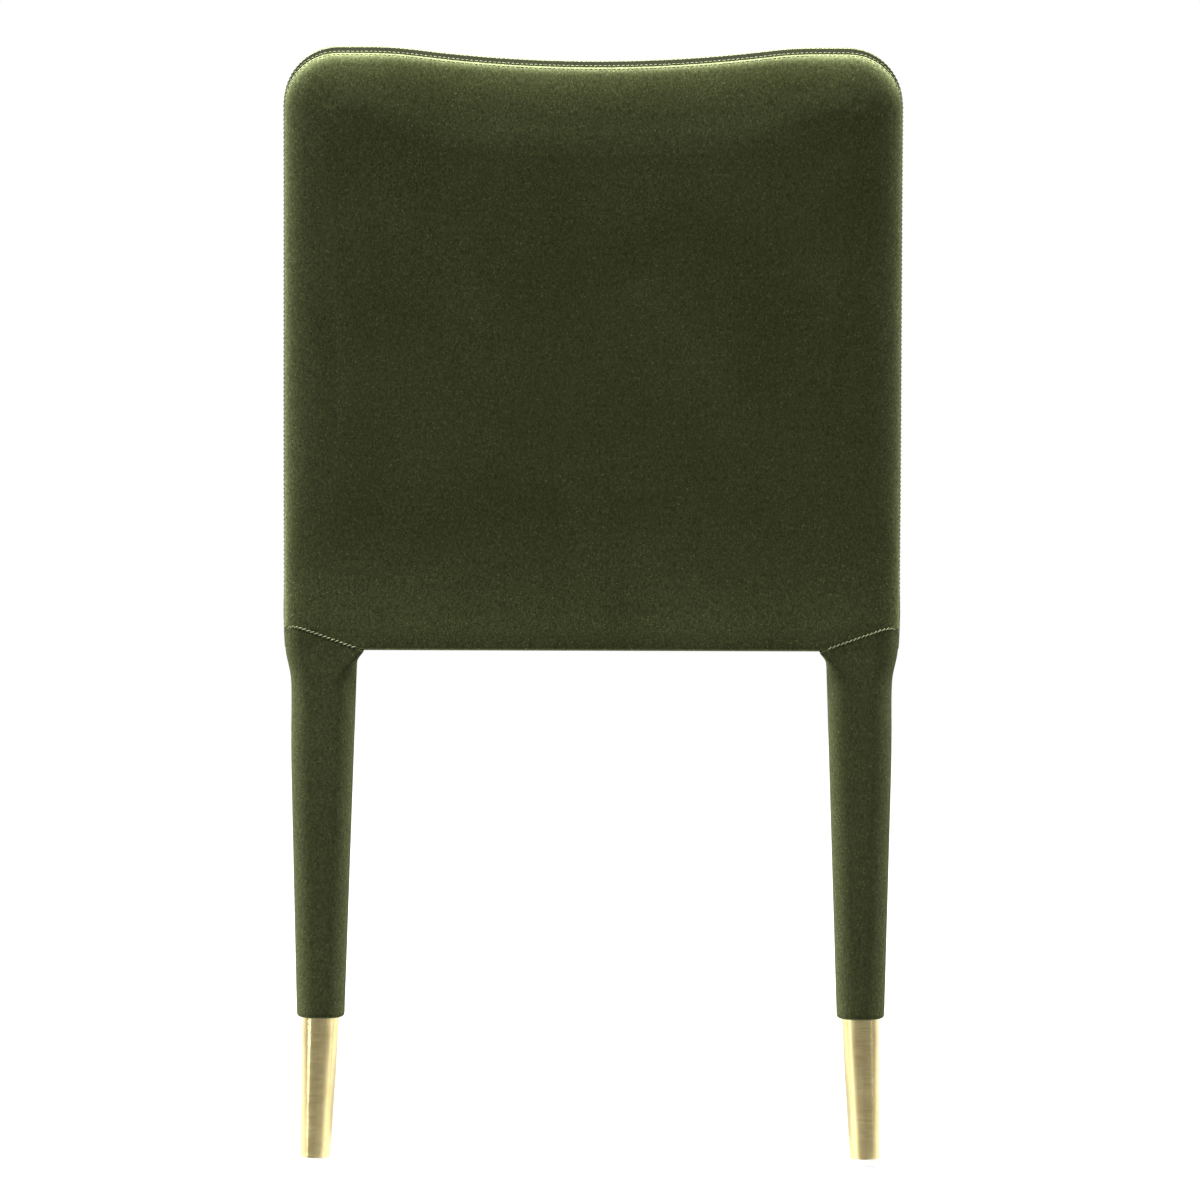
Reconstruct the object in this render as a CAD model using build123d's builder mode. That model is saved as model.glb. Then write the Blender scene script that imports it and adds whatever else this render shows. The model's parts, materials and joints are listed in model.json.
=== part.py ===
"""Upholstered dining chair with velvet-wrapped legs and brass-tipped feet.

The chair faces -Y and stands on z = 0, with the origin on the floor under its middle.
Left and right are the sitter's: left is +X. All sizes are in millimetres.
"""

import os
from math import cos, radians, sin, sqrt, tan

from build123d import *

# Overall sizes
crest_height = 889.0
seat_height = 492.0
seat_build = 83.0
seat_front = -280.5
rear_face = 207.0

# Covers and padding
cover = 1.5
sleeve = 2.0
padding = 8.0
foam_clearance = 2.0
hem_turn = 30.0

# Back: outline seen square on, and the bent slab that it is cut from
back_width = 489.6
back_thickness = 54.0
recline = 10.5
recline_drop = 26.0
recline_radius = 600.0
crest_dip = 11.0
dip_half_width = 157.0
shoulder_blend = 290.0
crest_corner = 43.0
rear_edge_radius = 16.0
front_edge_radius = 14.0

# Seat: trapezoid in plan, rounded over at its edges
seat_front_width = 507.0
seat_corner = 18.0
seat_edge_radius = 16.0
seat_seam_drop = 24.0

# Wooden frame
rail_thickness = 22.0
rail_height = 46.0
frame_thickness = 20.0
board_thickness = 5.0
board_margin = 3.0
post_width = 42.0
crest_rail_height = 62.0
lower_rail_height = 36.0
lower_rail_lift = 6.0
block_reach = 62.0
block_height = 38.0
glue_line = 0.1

# Legs, measured on the outside of their sleeves
leg_seam_rise = 23.0
leg_overrun = 10.0
hem_height = 117.0
hem_width = 38.0
leg_corner = 18.0
rear_leg_width = 54.5
rear_leg_inset = 3.3
rear_hem_inset = 29.7
rear_hem_rake = 4.0
rear_foot_inset = 25.8
rear_foot_rake = 19.0
front_leg_width = 52.0
front_leg_inset = 1.6
front_hem_inset = 23.1
front_hem_setback = 20.0
front_foot_inset = 19.3
front_foot_setback = 19.0

# Brass ferrules and nylon glides
ferrule_overlap = 4.0
ferrule_top_radius = 15.1
ferrule_bottom_radius = 12.0
ferrule_wall = 1.0
ferrule_floor = 1.2
ferrule_fit = 0.15
glide_height = 6.7
glide_radius = 9.8
glide_chamfer = 2.0
spigot_radius = 3.0
spigot_length = 18.0

# Webbing, loose tenons and the dust cover
strap_width = 50.0
strap_thickness = 1.2
strap_weave = 0.7
strap_spacing = 119.0
strap_middle = -54.0
strap_places = [-1, 0, 1]
tenon_thickness = 9.0
tenon_length = 44.0
tenon_shoulder = 7.0
dust_cover_thickness = 0.8
dust_cover_margin = 10.0

# Worked out from the sizes above
half_back = back_width / 2
half_front = seat_front_width / 2
rail_underside = seat_height - seat_build
recline_start = seat_height - recline_drop
rail_bottom = rail_underside + cover
rail_top = rail_bottom + rail_height
rail_middle = (rail_bottom + rail_top) / 2
foam_bottom = rail_top + foam_clearance
lower_rail_bottom = foam_bottom + lower_rail_lift
frame_depth = cover + padding
board_depth = frame_depth + frame_thickness
foam_depth = board_depth + board_thickness
rear_seam_depth = rear_edge_radius
front_seam_depth = back_thickness - front_edge_radius
seat_seam_height = seat_height - seat_seam_drop
post_inner = half_back - frame_depth - post_width
ferrule_top = hem_height + ferrule_overlap
peg_inset = ferrule_wall + ferrule_fit
peg_bottom = glide_height + ferrule_floor
reach = half_back + 30
highest = crest_height + 40
lowest = rail_underside - 20
tilt = tan(radians(recline))
bend_bottom = recline_start - recline_radius * tan(radians(recline) / 2)
bend_top = bend_bottom + recline_radius * sin(radians(recline))
far_off = 800.0


def back_face(height):
    """How far back the outside back stands at a height: plumb below, bent into the recline above."""
    if height <= bend_bottom:
        return rear_face
    if height < bend_top:
        return rear_face + recline_radius - sqrt(recline_radius**2 - (height - bend_bottom) ** 2)
    return rear_face + tilt * (height - recline_start)


def back_layer(near, far):
    """Bent slab between two depths, measured forward from the outside back's face."""
    with BuildPart() as layer:
        with BuildSketch(Plane.YZ):
            with BuildLine():
                ends = []
                for face in (rear_face - near, rear_face - far):
                    plumb = Line((face, lowest), (face, bend_bottom))
                    bend = JernArc(plumb @ 1, (0, 1), recline_radius, -recline)
                    slope = PolarLine(bend @ 1, (highest - bend_top) / cos(radians(recline)), 90 - recline)
                    ends.append((plumb @ 0, slope @ 1))
                for near_end, far_end in zip(*ends):
                    Line(near_end, far_end)
            make_face()
        extrude(amount=reach, both=True)
    return layer.part


def crest_outline(inset):
    """The back's outline as a prism square to the recline: dipped crest, round shoulders, plumb sides."""
    top_edge = back_face(crest_height) - front_seam_depth
    square_to_back = Plane(
        origin=(0, top_edge, crest_height),
        x_dir=(-1, 0, 0),
        z_dir=(0, cos(radians(recline)), -sin(radians(recline))),
    )
    with BuildPart() as prism:
        with BuildSketch(square_to_back) as outline:
            with BuildLine():
                crest = ThreePointArc((-dip_half_width, 0), (0, -crest_dip), (dip_half_width, 0))
                Polyline(
                    crest @ 1,
                    (half_back, 0),
                    (half_back, -crest_height),
                    (-half_back, -crest_height),
                    (-half_back, 0),
                    crest @ 0,
                )
            make_face()
            ends = outline.vertices().group_by(Axis.Y)[-1].sort_by(Axis.X)
            fillet([ends[0], ends[3]], crest_corner)
            turns = outline.vertices().filter_by(lambda point: abs(abs(point.X) - dip_half_width) < 1)
            fillet(turns, shoulder_blend)
            if inset:
                offset(amount=-inset)
        extrude(amount=reach, both=True)
    return prism.part


def back_form(inset):
    """The upholstered back as one rounded solid, taken in by inset on every side."""
    with BuildPart() as form:
        add(back_layer(inset, back_thickness - inset))
        add(crest_outline(inset), mode=Mode.INTERSECT)
        rear = form.faces().sort_by(SortBy.AREA)[-2:].sort_by(Axis.Y)[1]
        fillet(rear.edges().sort_by(Axis.Z)[1:], rear_edge_radius - inset)
        front = form.faces().sort_by(SortBy.AREA)[-2:].sort_by(Axis.Y)[0]
        fillet(front.edges().sort_by(Axis.Z)[1:], front_edge_radius - inset)
    return form.part


def chair_plan(inset, bottom, top):
    """Prism on the chair's plan at rail level, from the seat's front to the outside back."""
    rear = back_face(rail_underside)
    with BuildPart() as prism:
        with BuildSketch(Plane.XY.offset(bottom)) as plan:
            with BuildLine():
                Polyline(
                    (-half_front, seat_front),
                    (half_front, seat_front),
                    (half_back, rear),
                    (-half_back, rear),
                    close=True,
                )
            make_face()
            fillet(plan.vertices(), seat_corner)
            if inset:
                offset(amount=-inset)
        extrude(amount=top - bottom)
    return prism.part


def seat_form(inset):
    """The upholstered seat as one solid, rounded over at its top edges and taken in by inset."""
    with BuildPart() as form:
        add(chair_plan(inset, rail_underside, seat_height - inset))
        fillet(form.faces().sort_by(Axis.Z)[-1].edges(), seat_edge_radius - inset)
        split(bisect_by=Plane.XZ.offset(front_seam_depth - rear_face), keep=Keep.TOP)
    return form.part


def leg_view(view, at_hem, at_rail, inset):
    """Prism on a leg's outline in one view, given its two edges at the hem and at the rail."""
    with BuildPart() as prism:
        with BuildSketch(view):
            with BuildLine():
                corners = []
                for height, order in ((hem_height - leg_overrun, 1), (rail_top, -1)):
                    share = (height - hem_height) / (rail_underside - hem_height)
                    edges = [(low + (high - low) * share, height) for low, high in zip(at_hem, at_rail)]
                    corners += edges[::order]
                Polyline(*corners, close=True)
            make_face()
            if inset:
                offset(amount=-inset, kind=Kind.INTERSECTION)
        extrude(amount=far_off, both=True)
    return prism.part


def leg_form(head, hem, inset):
    """A leg as one solid, tapered both ways, with rounded corners, taken in by inset.

    head holds the inner, outer, front and rear faces at the rail's underside.
    """
    half_hem = hem_width / 2
    with BuildPart() as form:
        add(leg_view(Plane.XZ, (hem[0] - half_hem, hem[0] + half_hem), head[:2], inset))
        add(leg_view(Plane.YZ, (hem[1] - half_hem, hem[1] + half_hem), head[2:], inset), mode=Mode.INTERSECT)
        across = form.edges().filter_by(Axis.X) + form.edges().filter_by(Axis.Y)
        fillet([edge for edge in form.edges() if edge not in across], leg_corner - inset)
    return form.part


def seam_plane(inner, outer, near, far):
    """Plane of a left sleeve's top seam, sloping down each way from the chair's corner.

    inner and outer are its ends along X; near is the chair's face along Y and far the end along the side.
    """
    corner = Vector(outer, near, rail_underside + leg_seam_rise)
    to_inner = Vector(inner, near, rail_underside) - corner
    to_far = Vector(outer, far, rail_underside) - corner
    across = to_inner.cross(to_far)
    if across.Z < 0:
        across = -across
    return Plane(origin=corner, z_dir=across)


def above_seams(solid, seam):
    """The part of a cover above the rail's underside and above the seams of a left and a right sleeve."""
    with BuildPart() as piece:
        add(solid)
        split(bisect_by=Plane.XY.offset(rail_underside), keep=Keep.TOP)
        split(bisect_by=seam, keep=Keep.TOP)
        mirrored = Plane(
            origin=(-seam.origin.X, seam.origin.Y, seam.origin.Z),
            z_dir=(-seam.z_dir.X, seam.z_dir.Y, seam.z_dir.Z),
        )
        split(bisect_by=mirrored, keep=Keep.TOP)
    return piece.part


def below_seam(solid, seam):
    """The corner of a cover above the rail's underside and below a left sleeve's top seam."""
    with BuildPart() as piece:
        add(solid)
        split(bisect_by=Plane.XY.offset(rail_underside), keep=Keep.TOP)
        split(bisect_by=seam, keep=Keep.BOTTOM)
    return piece.part


def foot_round(hem, foot, inset, bottom, top):
    """Cone about a foot's leaning line, taken in by inset from the ferrule's outside, with level ends."""
    lean = Vector(hem[0] - foot[0], hem[1] - foot[1], hem_height).normalized()
    spread = (ferrule_top_radius - ferrule_bottom_radius) / (ferrule_top - glide_height)
    radius_at_floor = ferrule_bottom_radius - glide_height * spread
    with BuildPart() as taper:
        with Locations(Plane(origin=(foot[0], foot[1], 0), z_dir=lean).offset(-hem_height)):
            Cone(
                radius_at_floor - hem_height * spread - inset,
                radius_at_floor + 2 * hem_height * spread - inset,
                3 * hem_height,
                align=(Align.CENTER, Align.CENTER, Align.MIN),
            )
        add(slice_between(bottom, top), mode=Mode.INTERSECT)
    return taper.part


def spigot_bore(foot):
    """Upright bore for a glide's spigot, through the ferrule's floor and into the leg."""
    with BuildPart() as bore:
        with Locations((foot[0], foot[1], 0)):
            Cylinder(
                spigot_radius, glide_height + spigot_length, align=(Align.CENTER, Align.CENTER, Align.MIN)
            )
    return bore.part


def slice_between(low, high, half_width=far_off):
    """Block between two heights, reaching the same distance to left and right."""
    with BuildPart() as block:
        with Locations((0, 0, (low + high) / 2)):
            Box(2 * half_width, 2 * far_off, high - low)
    return block.part


def between(solid, low, high):
    """The part of a solid between two heights."""
    with BuildPart() as piece:
        add(solid)
        add(slice_between(low, high), mode=Mode.INTERSECT)
    return piece.part


def sawn(inner, outer, low, high, far=board_depth):
    """Piece of the back's curved frame, between two distances from the middle line and two heights."""
    with BuildPart() as piece:
        add(back_layer(frame_depth, far))
        add(crest_outline(frame_depth), mode=Mode.INTERSECT)
        with Locations(((inner + outer) / 2, 0, (low + high) / 2)):
            Box(outer - inner, 2 * far_off, high - low, mode=Mode.INTERSECT)
    return piece.part


# Where the four legs stand, and the shapes shared by their pieces
rear_head = (
    half_back - rear_leg_inset - rear_leg_width,
    half_back - rear_leg_inset,
    rear_face - back_thickness,
    rear_face,
)
front_head = (
    half_front - front_leg_inset - front_leg_width,
    half_front - front_leg_inset,
    seat_front,
    seat_front + front_leg_width,
)
rear_hem = (half_back - rear_hem_inset, rear_face + rear_hem_rake)
rear_foot = (half_back - rear_foot_inset, rear_face + rear_foot_rake)
front_hem = (half_front - front_hem_inset, seat_front + front_hem_setback)
front_foot = (half_front - front_foot_inset, seat_front + front_foot_setback)
rear_seam = seam_plane(rear_head[0], half_back, rear_face, rear_face - front_seam_depth + cover)
front_seam = seam_plane(front_head[0], half_front, seat_front, front_head[3])
back_outside = back_form(0)
back_inside = back_form(cover)
back_clear = back_form(-cover)


def side_middle(place):
    """Half width from the chair's middle to the middle of a side rail, at a place along Y."""
    share = (place - seat_front) / (back_face(rail_underside) - seat_front)
    return half_front + (half_back - half_front) * share - cover - rail_thickness / 2


def frame_middle(height):
    """Place along Y of the middle of the back's frame at a height."""
    return back_face(height) - frame_depth - frame_thickness / 2


# Loose tenons in the frame's joints
front_rail_middle = seat_front + cover + rail_thickness / 2
rear_rail_middle = back_face(rail_middle) - frame_depth - rail_thickness / 2
front_leg_inner = front_head[0] + sleeve
front_leg_rear = front_head[3] - sleeve
post_head_inner = rear_head[0] + sleeve
post_head_front = rear_head[2] + sleeve
crest_rail_bottom = crest_height - crest_dip - frame_depth - crest_rail_height
crest_rail_middle = crest_rail_bottom + crest_rail_height / 2
lower_rail_middle = lower_rail_bottom + lower_rail_height / 2
with BuildPart() as loose_tenons:
    for side in (-1, 1):
        with Locations(
            (side * front_leg_inner, front_rail_middle, rail_middle),
            (side * post_head_inner, rear_rail_middle, rail_middle),
        ):
            Box(tenon_length, tenon_thickness, rail_height - 2 * tenon_shoulder)
        with Locations(
            (side * side_middle(front_leg_rear), front_leg_rear, rail_middle),
            (side * side_middle(post_head_front), post_head_front, rail_middle),
        ):
            Box(tenon_thickness, tenon_length, rail_height - 2 * tenon_shoulder)
        for height, depth in (
            (crest_rail_middle, crest_rail_height),
            (lower_rail_middle, lower_rail_height),
        ):
            with Locations(Location((side * post_inner, frame_middle(height), height), (-recline, 0, 0))):
                Box(tenon_length, tenon_thickness, depth - 2 * tenon_shoulder)

# Rear posts: leg and back upright in one piece, sheathed below and padded above
rear_timber = leg_form(rear_head, rear_hem, sleeve)
rear_peg = foot_round(rear_hem, rear_foot, peg_inset, peg_bottom, ferrule_top)
with BuildPart() as rear_post_left:
    with Locations((post_head_inner, post_head_front, rail_bottom)):
        Box(far_off, far_off, rail_height, align=(Align.MIN, Align.MIN, Align.MIN))
    add(back_inside, mode=Mode.INTERSECT)
    add(between(rear_timber, ferrule_top, rail_bottom))
    add(rear_peg)
    add(sawn(post_inner, reach, rail_bottom, highest))
    add(spigot_bore(rear_foot), mode=Mode.SUBTRACT)
    add(loose_tenons.part, mode=Mode.SUBTRACT)
with BuildPart() as rear_post_right:
    mirror(rear_post_left.part, about=Plane.YZ)

# Front legs
front_timber = leg_form(front_head, front_hem, sleeve)
front_peg = foot_round(front_hem, front_foot, peg_inset, peg_bottom, ferrule_top)
with BuildPart() as front_leg_left:
    with Locations((front_leg_inner, front_leg_rear, rail_bottom)):
        Box(far_off, far_off, rail_height, align=(Align.MIN, Align.MAX, Align.MIN))
    add(chair_plan(cover, rail_bottom, rail_top), mode=Mode.INTERSECT)
    add(between(front_timber, ferrule_top, rail_bottom))
    add(front_peg)
    add(spigot_bore(front_foot), mode=Mode.SUBTRACT)
    add(loose_tenons.part, mode=Mode.SUBTRACT)
with BuildPart() as front_leg_right:
    mirror(front_leg_left.part, about=Plane.YZ)

# Seat rails: sawn from one ring on the plan, butting against the legs
with BuildPart() as seat_ring:
    add(chair_plan(cover, rail_bottom, rail_top))
    add(chair_plan(cover + rail_thickness, rail_bottom, rail_top), mode=Mode.SUBTRACT)
with BuildPart() as front_rail:
    add(seat_ring.part)
    with Locations((0, front_rail_middle, rail_middle)):
        Box(2 * front_leg_inner, rail_thickness, rail_height, mode=Mode.INTERSECT)
    add(loose_tenons.part, mode=Mode.SUBTRACT)
with BuildPart() as side_rail_left:
    add(seat_ring.part)
    with Locations((half_front, (front_leg_rear + post_head_front) / 2, rail_middle)):
        Box(half_front, post_head_front - front_leg_rear, rail_height, mode=Mode.INTERSECT)
    add(loose_tenons.part, mode=Mode.SUBTRACT)
with BuildPart() as side_rail_right:
    mirror(side_rail_left.part, about=Plane.YZ)

# Rear rail, crest rail and lower back rail stand between the posts
with BuildPart() as rear_rail:
    add(between(back_layer(frame_depth, frame_depth + rail_thickness), rail_bottom, rail_top))
    add(slice_between(rail_bottom, rail_top, post_inner), mode=Mode.INTERSECT)
    for piece in (rear_post_left, rear_post_right, loose_tenons):
        add(piece.part, mode=Mode.SUBTRACT)
with BuildPart() as crest_rail:
    add(sawn(-post_inner, post_inner, crest_rail_bottom, highest))
    add(loose_tenons.part, mode=Mode.SUBTRACT)
with BuildPart() as lower_back_rail:
    add(sawn(-post_inner, post_inner, lower_rail_bottom, lower_rail_bottom + lower_rail_height))
    add(loose_tenons.part, mode=Mode.SUBTRACT)

# Back board: bent plywood, fixed to the front of the frame
with BuildPart() as back_board:
    add(back_layer(board_depth, foam_depth))
    add(crest_outline(frame_depth + board_margin), mode=Mode.INTERSECT)
    add(slice_between(lower_rail_bottom, highest), mode=Mode.INTERSECT)

# Corner blocks, fitted round the legs
front_block_corner = (
    side_middle(front_leg_rear) - rail_thickness / 2,
    front_rail_middle + rail_thickness / 2,
)
front_block_leg = front_leg_rear - front_block_corner[1] + block_reach
with BuildPart() as corner_block_front_left:
    with BuildSketch(Plane.XY.offset(rail_middle - block_height / 2)):
        block_end = front_block_corner[1] + front_block_leg
        with BuildLine():
            Polyline(
                (front_block_corner[0] - front_block_leg, front_block_corner[1]),
                (front_leg_inner, front_block_corner[1]),
                (front_leg_inner, front_leg_rear),
                (side_middle(front_leg_rear) - rail_thickness / 2 - glue_line, front_leg_rear),
                (side_middle(block_end) - rail_thickness / 2 - glue_line, block_end),
                close=True,
            )
        make_face()
    extrude(amount=block_height)
with BuildPart() as corner_block_front_right:
    mirror(corner_block_front_left.part, about=Plane.YZ)
rear_block_corner = (
    side_middle(post_head_front) - rail_thickness / 2,
    rear_rail_middle - rail_thickness / 2,
)
rear_block_leg = rear_block_corner[0] - post_head_inner + block_reach
with BuildPart() as corner_block_rear_left:
    with BuildSketch(Plane.XY.offset(rail_middle - block_height / 2)):
        block_end = rear_block_corner[1] - rear_block_leg
        with BuildLine():
            Polyline(
                (rear_block_corner[0] - rear_block_leg, rear_rail_middle),
                (rear_block_corner[0] - rear_block_leg, rear_block_corner[1]),
                (side_middle(block_end) - rail_thickness / 2 - glue_line, block_end),
                (side_middle(post_head_front) - rail_thickness / 2 - glue_line, post_head_front),
                (post_head_inner, post_head_front),
                (post_head_inner, rear_rail_middle),
                close=True,
            )
        make_face()
    extrude(amount=block_height)
    for piece in (rear_rail, loose_tenons):
        add(piece.part, mode=Mode.SUBTRACT)
with BuildPart() as corner_block_rear_right:
    mirror(corner_block_rear_left.part, about=Plane.YZ)


def strap(ends, crossings, first):
    """Side view of a woven strap: flat on the rails at its ends, over and under the straps it crosses."""
    rest = rail_top + strap_thickness / 2
    landing = rail_thickness / 2 + 1
    line = [(ends[0], rest), (ends[0] + landing, rest)]
    for count, place in enumerate(crossings):
        level = rest + strap_weave * first * (-1) ** count
        line += [(place - strap_width / 2, level), (place + strap_width / 2, level)]
    line += [(ends[1] - landing, rest), (ends[1], rest)]
    with BuildLine() as edge:
        Polyline(
            [(along, height - strap_thickness / 2) for along, height in line]
            + [(along, height + strap_thickness / 2) for along, height in reversed(line)],
            close=True,
        )
    return edge.line


# Webbing: straps from front to back, woven with straps from side to side
long_places = [strap_spacing * place for place in strap_places]
cross_places = [strap_middle + strap_spacing * place for place in strap_places]
long_straps = []
for count, place in enumerate(long_places):
    with BuildPart() as long_strap:
        with BuildSketch(Plane.YZ.offset(place - strap_width / 2)):
            add(strap((front_rail_middle, rear_rail_middle), cross_places, (-1) ** count))
            make_face()
        extrude(amount=strap_width)
    long_straps.append(long_strap)
cross_straps = []
for count, place in enumerate(cross_places):
    with BuildPart() as cross_strap:
        with BuildSketch(Plane.XZ.offset(-place - strap_width / 2)):
            add(strap((-side_middle(place), side_middle(place)), long_places, -((-1) ** count)))
            make_face()
        extrude(amount=strap_width)
    cross_straps.append(cross_strap)

# Foam: seat pad, inside back pad, and the outside back's pad that laps the frame's sides and top
with BuildPart() as seat_foam:
    add(between(seat_form(cover), foam_bottom, highest))
    add(back_clear, mode=Mode.SUBTRACT)
with BuildPart() as inside_back_foam:
    add(between(back_inside, foam_bottom, highest))
    add(back_layer(foam_depth, back_thickness), mode=Mode.INTERSECT)
with BuildPart() as back_lap:
    add(above_seams(between(back_inside, rail_bottom, highest), rear_seam))
    add(back_layer(0, foam_depth), mode=Mode.INTERSECT)
    add(sawn(-reach, reach, lowest, highest, foam_depth), mode=Mode.SUBTRACT)
    for piece in (rear_post_left, rear_post_right):
        add(piece.part, mode=Mode.SUBTRACT)
with BuildPart() as outside_back_pad:
    add(back_lap.part.solids().sort_by(SortBy.VOLUME)[-1])

# Back covers: one skin, parted at the two perimeter seams
with BuildPart() as back_skin:
    add(back_outside)
    add(back_inside, mode=Mode.SUBTRACT)
    split(bisect_by=Plane.XY.offset(rail_underside), keep=Keep.TOP)
with BuildPart() as outside_back_cover:
    add(between(back_layer(0, hem_turn), rail_underside, rail_bottom))
    add(slice_between(rail_underside, rail_bottom, rear_head[0]), mode=Mode.INTERSECT)
    add(above_seams(back_skin.part, rear_seam).intersect(back_layer(-padding, rear_seam_depth)))
with BuildPart() as back_border:
    add(above_seams(back_skin.part, rear_seam))
    add(back_layer(rear_seam_depth, front_seam_depth), mode=Mode.INTERSECT)
with BuildPart() as inside_back_cover:
    add(back_skin.part)
    add(back_layer(front_seam_depth, back_thickness + padding), mode=Mode.INTERSECT)
    add(slice_between(0, foam_bottom), mode=Mode.SUBTRACT)

# Seat covers: crowned top, and a border that turns under the rails
with BuildPart() as seat_skin:
    add(seat_form(0))
    for waste in (back_outside, seat_foam.part, chair_plan(cover, rail_bottom, foam_bottom)):
        add(waste, mode=Mode.SUBTRACT)
    for piece in (front_leg_left, front_leg_right, rear_post_left, rear_post_right):
        add(piece.part, mode=Mode.SUBTRACT)
with BuildPart() as seat_top_cover:
    add(between(seat_skin.part, seat_seam_height, highest))
with BuildPart() as seat_border:
    add(above_seams(between(seat_skin.part, 0, seat_seam_height), front_seam))
    add(chair_plan(cover + rail_thickness, 0, rail_bottom), mode=Mode.SUBTRACT)

# Leg sleeves: velvet drawn over the legs, from slanted seams at the chair's corners to hems at the ferrules
rear_cuff = between(leg_form(rear_head, rear_hem, 0), hem_height, rail_underside)
front_cuff = between(leg_form(front_head, front_hem, 0), hem_height, rail_underside)
with BuildPart() as sleeve_rear_left:
    add(rear_cuff)
    add(below_seam(chair_plan(0, rail_underside, rail_bottom), rear_seam))
    add(below_seam(back_skin.part.intersect(back_layer(-padding, front_seam_depth)), rear_seam))
    add(rear_post_left.part, mode=Mode.SUBTRACT)
    add(foot_round(rear_hem, rear_foot, 0, glide_height, ferrule_top), mode=Mode.SUBTRACT)
with BuildPart() as sleeve_rear_right:
    mirror(sleeve_rear_left.part, about=Plane.YZ)
with BuildPart() as sleeve_front_left:
    add(front_cuff)
    add(below_seam(seat_skin.part, front_seam))
    add(front_leg_left.part, mode=Mode.SUBTRACT)
    add(foot_round(front_hem, front_foot, 0, glide_height, ferrule_top), mode=Mode.SUBTRACT)
with BuildPart() as sleeve_front_right:
    mirror(sleeve_front_left.part, about=Plane.YZ)

# Dust cover under the seat, cut round the legs
with BuildPart() as dust_cover:
    add(chair_plan(dust_cover_margin, rail_underside - dust_cover_thickness, rail_underside))
    for cuff in (rear_cuff, front_cuff):
        add(cuff, mode=Mode.SUBTRACT)
        add(mirror(cuff, about=Plane.YZ, mode=Mode.PRIVATE), mode=Mode.SUBTRACT)

# Brass ferrules, each with a floor that the glide's spigot passes through
with BuildPart() as left_ferrules:
    for hem, foot in ((rear_hem, rear_foot), (front_hem, front_foot)):
        add(foot_round(hem, foot, 0, glide_height, ferrule_top))
        add(foot_round(hem, foot, ferrule_wall, peg_bottom, ferrule_top), mode=Mode.SUBTRACT)
        add(spigot_bore(foot), mode=Mode.SUBTRACT)
with BuildPart() as ferrules:
    add(left_ferrules.part)
    mirror(left_ferrules.part, about=Plane.YZ)

# Nylon glides, each a pad with its spigot
with BuildPart() as glides:
    with BuildSketch() as pads:
        for foot in (rear_foot, front_foot):
            with Locations(foot, (-foot[0], foot[1])):
                Circle(glide_radius)
    extrude(amount=glide_height)
    chamfer(glides.edges().group_by(Axis.Z)[0], glide_chamfer)
    for foot in (rear_foot, front_foot):
        add(spigot_bore(foot))
        mirror(spigot_bore(foot), about=Plane.YZ)

# Every piece is written under its own name
pieces = {
    "rear_post_left": rear_post_left,
    "rear_post_right": rear_post_right,
    "front_leg_left": front_leg_left,
    "front_leg_right": front_leg_right,
    "front_rail": front_rail,
    "rear_rail": rear_rail,
    "side_rail_left": side_rail_left,
    "side_rail_right": side_rail_right,
    "crest_rail": crest_rail,
    "lower_back_rail": lower_back_rail,
    "back_board": back_board,
    "corner_block_front_left": corner_block_front_left,
    "corner_block_front_right": corner_block_front_right,
    "corner_block_rear_left": corner_block_rear_left,
    "corner_block_rear_right": corner_block_rear_right,
    "loose_tenons": loose_tenons,
    "seat_foam": seat_foam,
    "inside_back_foam": inside_back_foam,
    "outside_back_pad": outside_back_pad,
    "seat_top_cover": seat_top_cover,
    "seat_border": seat_border,
    "outside_back_cover": outside_back_cover,
    "back_border": back_border,
    "inside_back_cover": inside_back_cover,
    "sleeve_rear_left": sleeve_rear_left,
    "sleeve_rear_right": sleeve_rear_right,
    "sleeve_front_left": sleeve_front_left,
    "sleeve_front_right": sleeve_front_right,
    "dust_cover": dust_cover,
    "ferrules": ferrules,
    "glides": glides,
}
for place, builder in zip(("right", "middle", "left"), long_straps):
    pieces["long_strap_" + place] = builder
for place, builder in zip(("front", "middle", "rear"), cross_straps):
    pieces["cross_strap_" + place] = builder

os.makedirs("parts", exist_ok=True)
for name, builder in pieces.items():
    builder.part.label = name
    export_step(builder.part, "parts/" + name + ".step")
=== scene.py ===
"""Looks of an upholstered dining chair: olive velvet over a hardwood frame, on satin brass feet.

The chair's lengths are in millimetres, in the frame of the solid model: it faces -Y and stands on
z = 0, and the sitter's left is +X. Meshes, lights and the camera are placed in metres.
"""

import json
import logging
import math
from dataclasses import dataclass, field, replace
from enum import Enum
from typing import Any, Iterable, Sequence

import bmesh
import bpy
from mathutils import Euler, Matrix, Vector


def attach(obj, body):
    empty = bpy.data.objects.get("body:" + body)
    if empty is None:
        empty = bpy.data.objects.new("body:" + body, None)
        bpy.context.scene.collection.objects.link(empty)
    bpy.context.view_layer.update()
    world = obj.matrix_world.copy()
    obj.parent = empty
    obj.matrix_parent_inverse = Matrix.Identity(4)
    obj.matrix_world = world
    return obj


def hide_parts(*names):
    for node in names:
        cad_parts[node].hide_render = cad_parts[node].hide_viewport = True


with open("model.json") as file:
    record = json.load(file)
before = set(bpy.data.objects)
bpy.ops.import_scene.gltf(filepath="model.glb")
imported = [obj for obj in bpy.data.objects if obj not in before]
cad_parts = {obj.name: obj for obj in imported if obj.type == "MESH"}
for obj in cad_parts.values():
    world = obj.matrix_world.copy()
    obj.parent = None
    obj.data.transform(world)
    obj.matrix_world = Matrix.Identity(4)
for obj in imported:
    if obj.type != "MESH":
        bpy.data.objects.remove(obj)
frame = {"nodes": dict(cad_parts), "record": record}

MM = 0.001
UP = Vector((0, 0, 1)).freeze()
DOWN = Vector((0, 0, -1)).freeze()
REARWARD = Vector((0, 1, 0)).freeze()
log = logging.getLogger("dining_chair")

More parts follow.
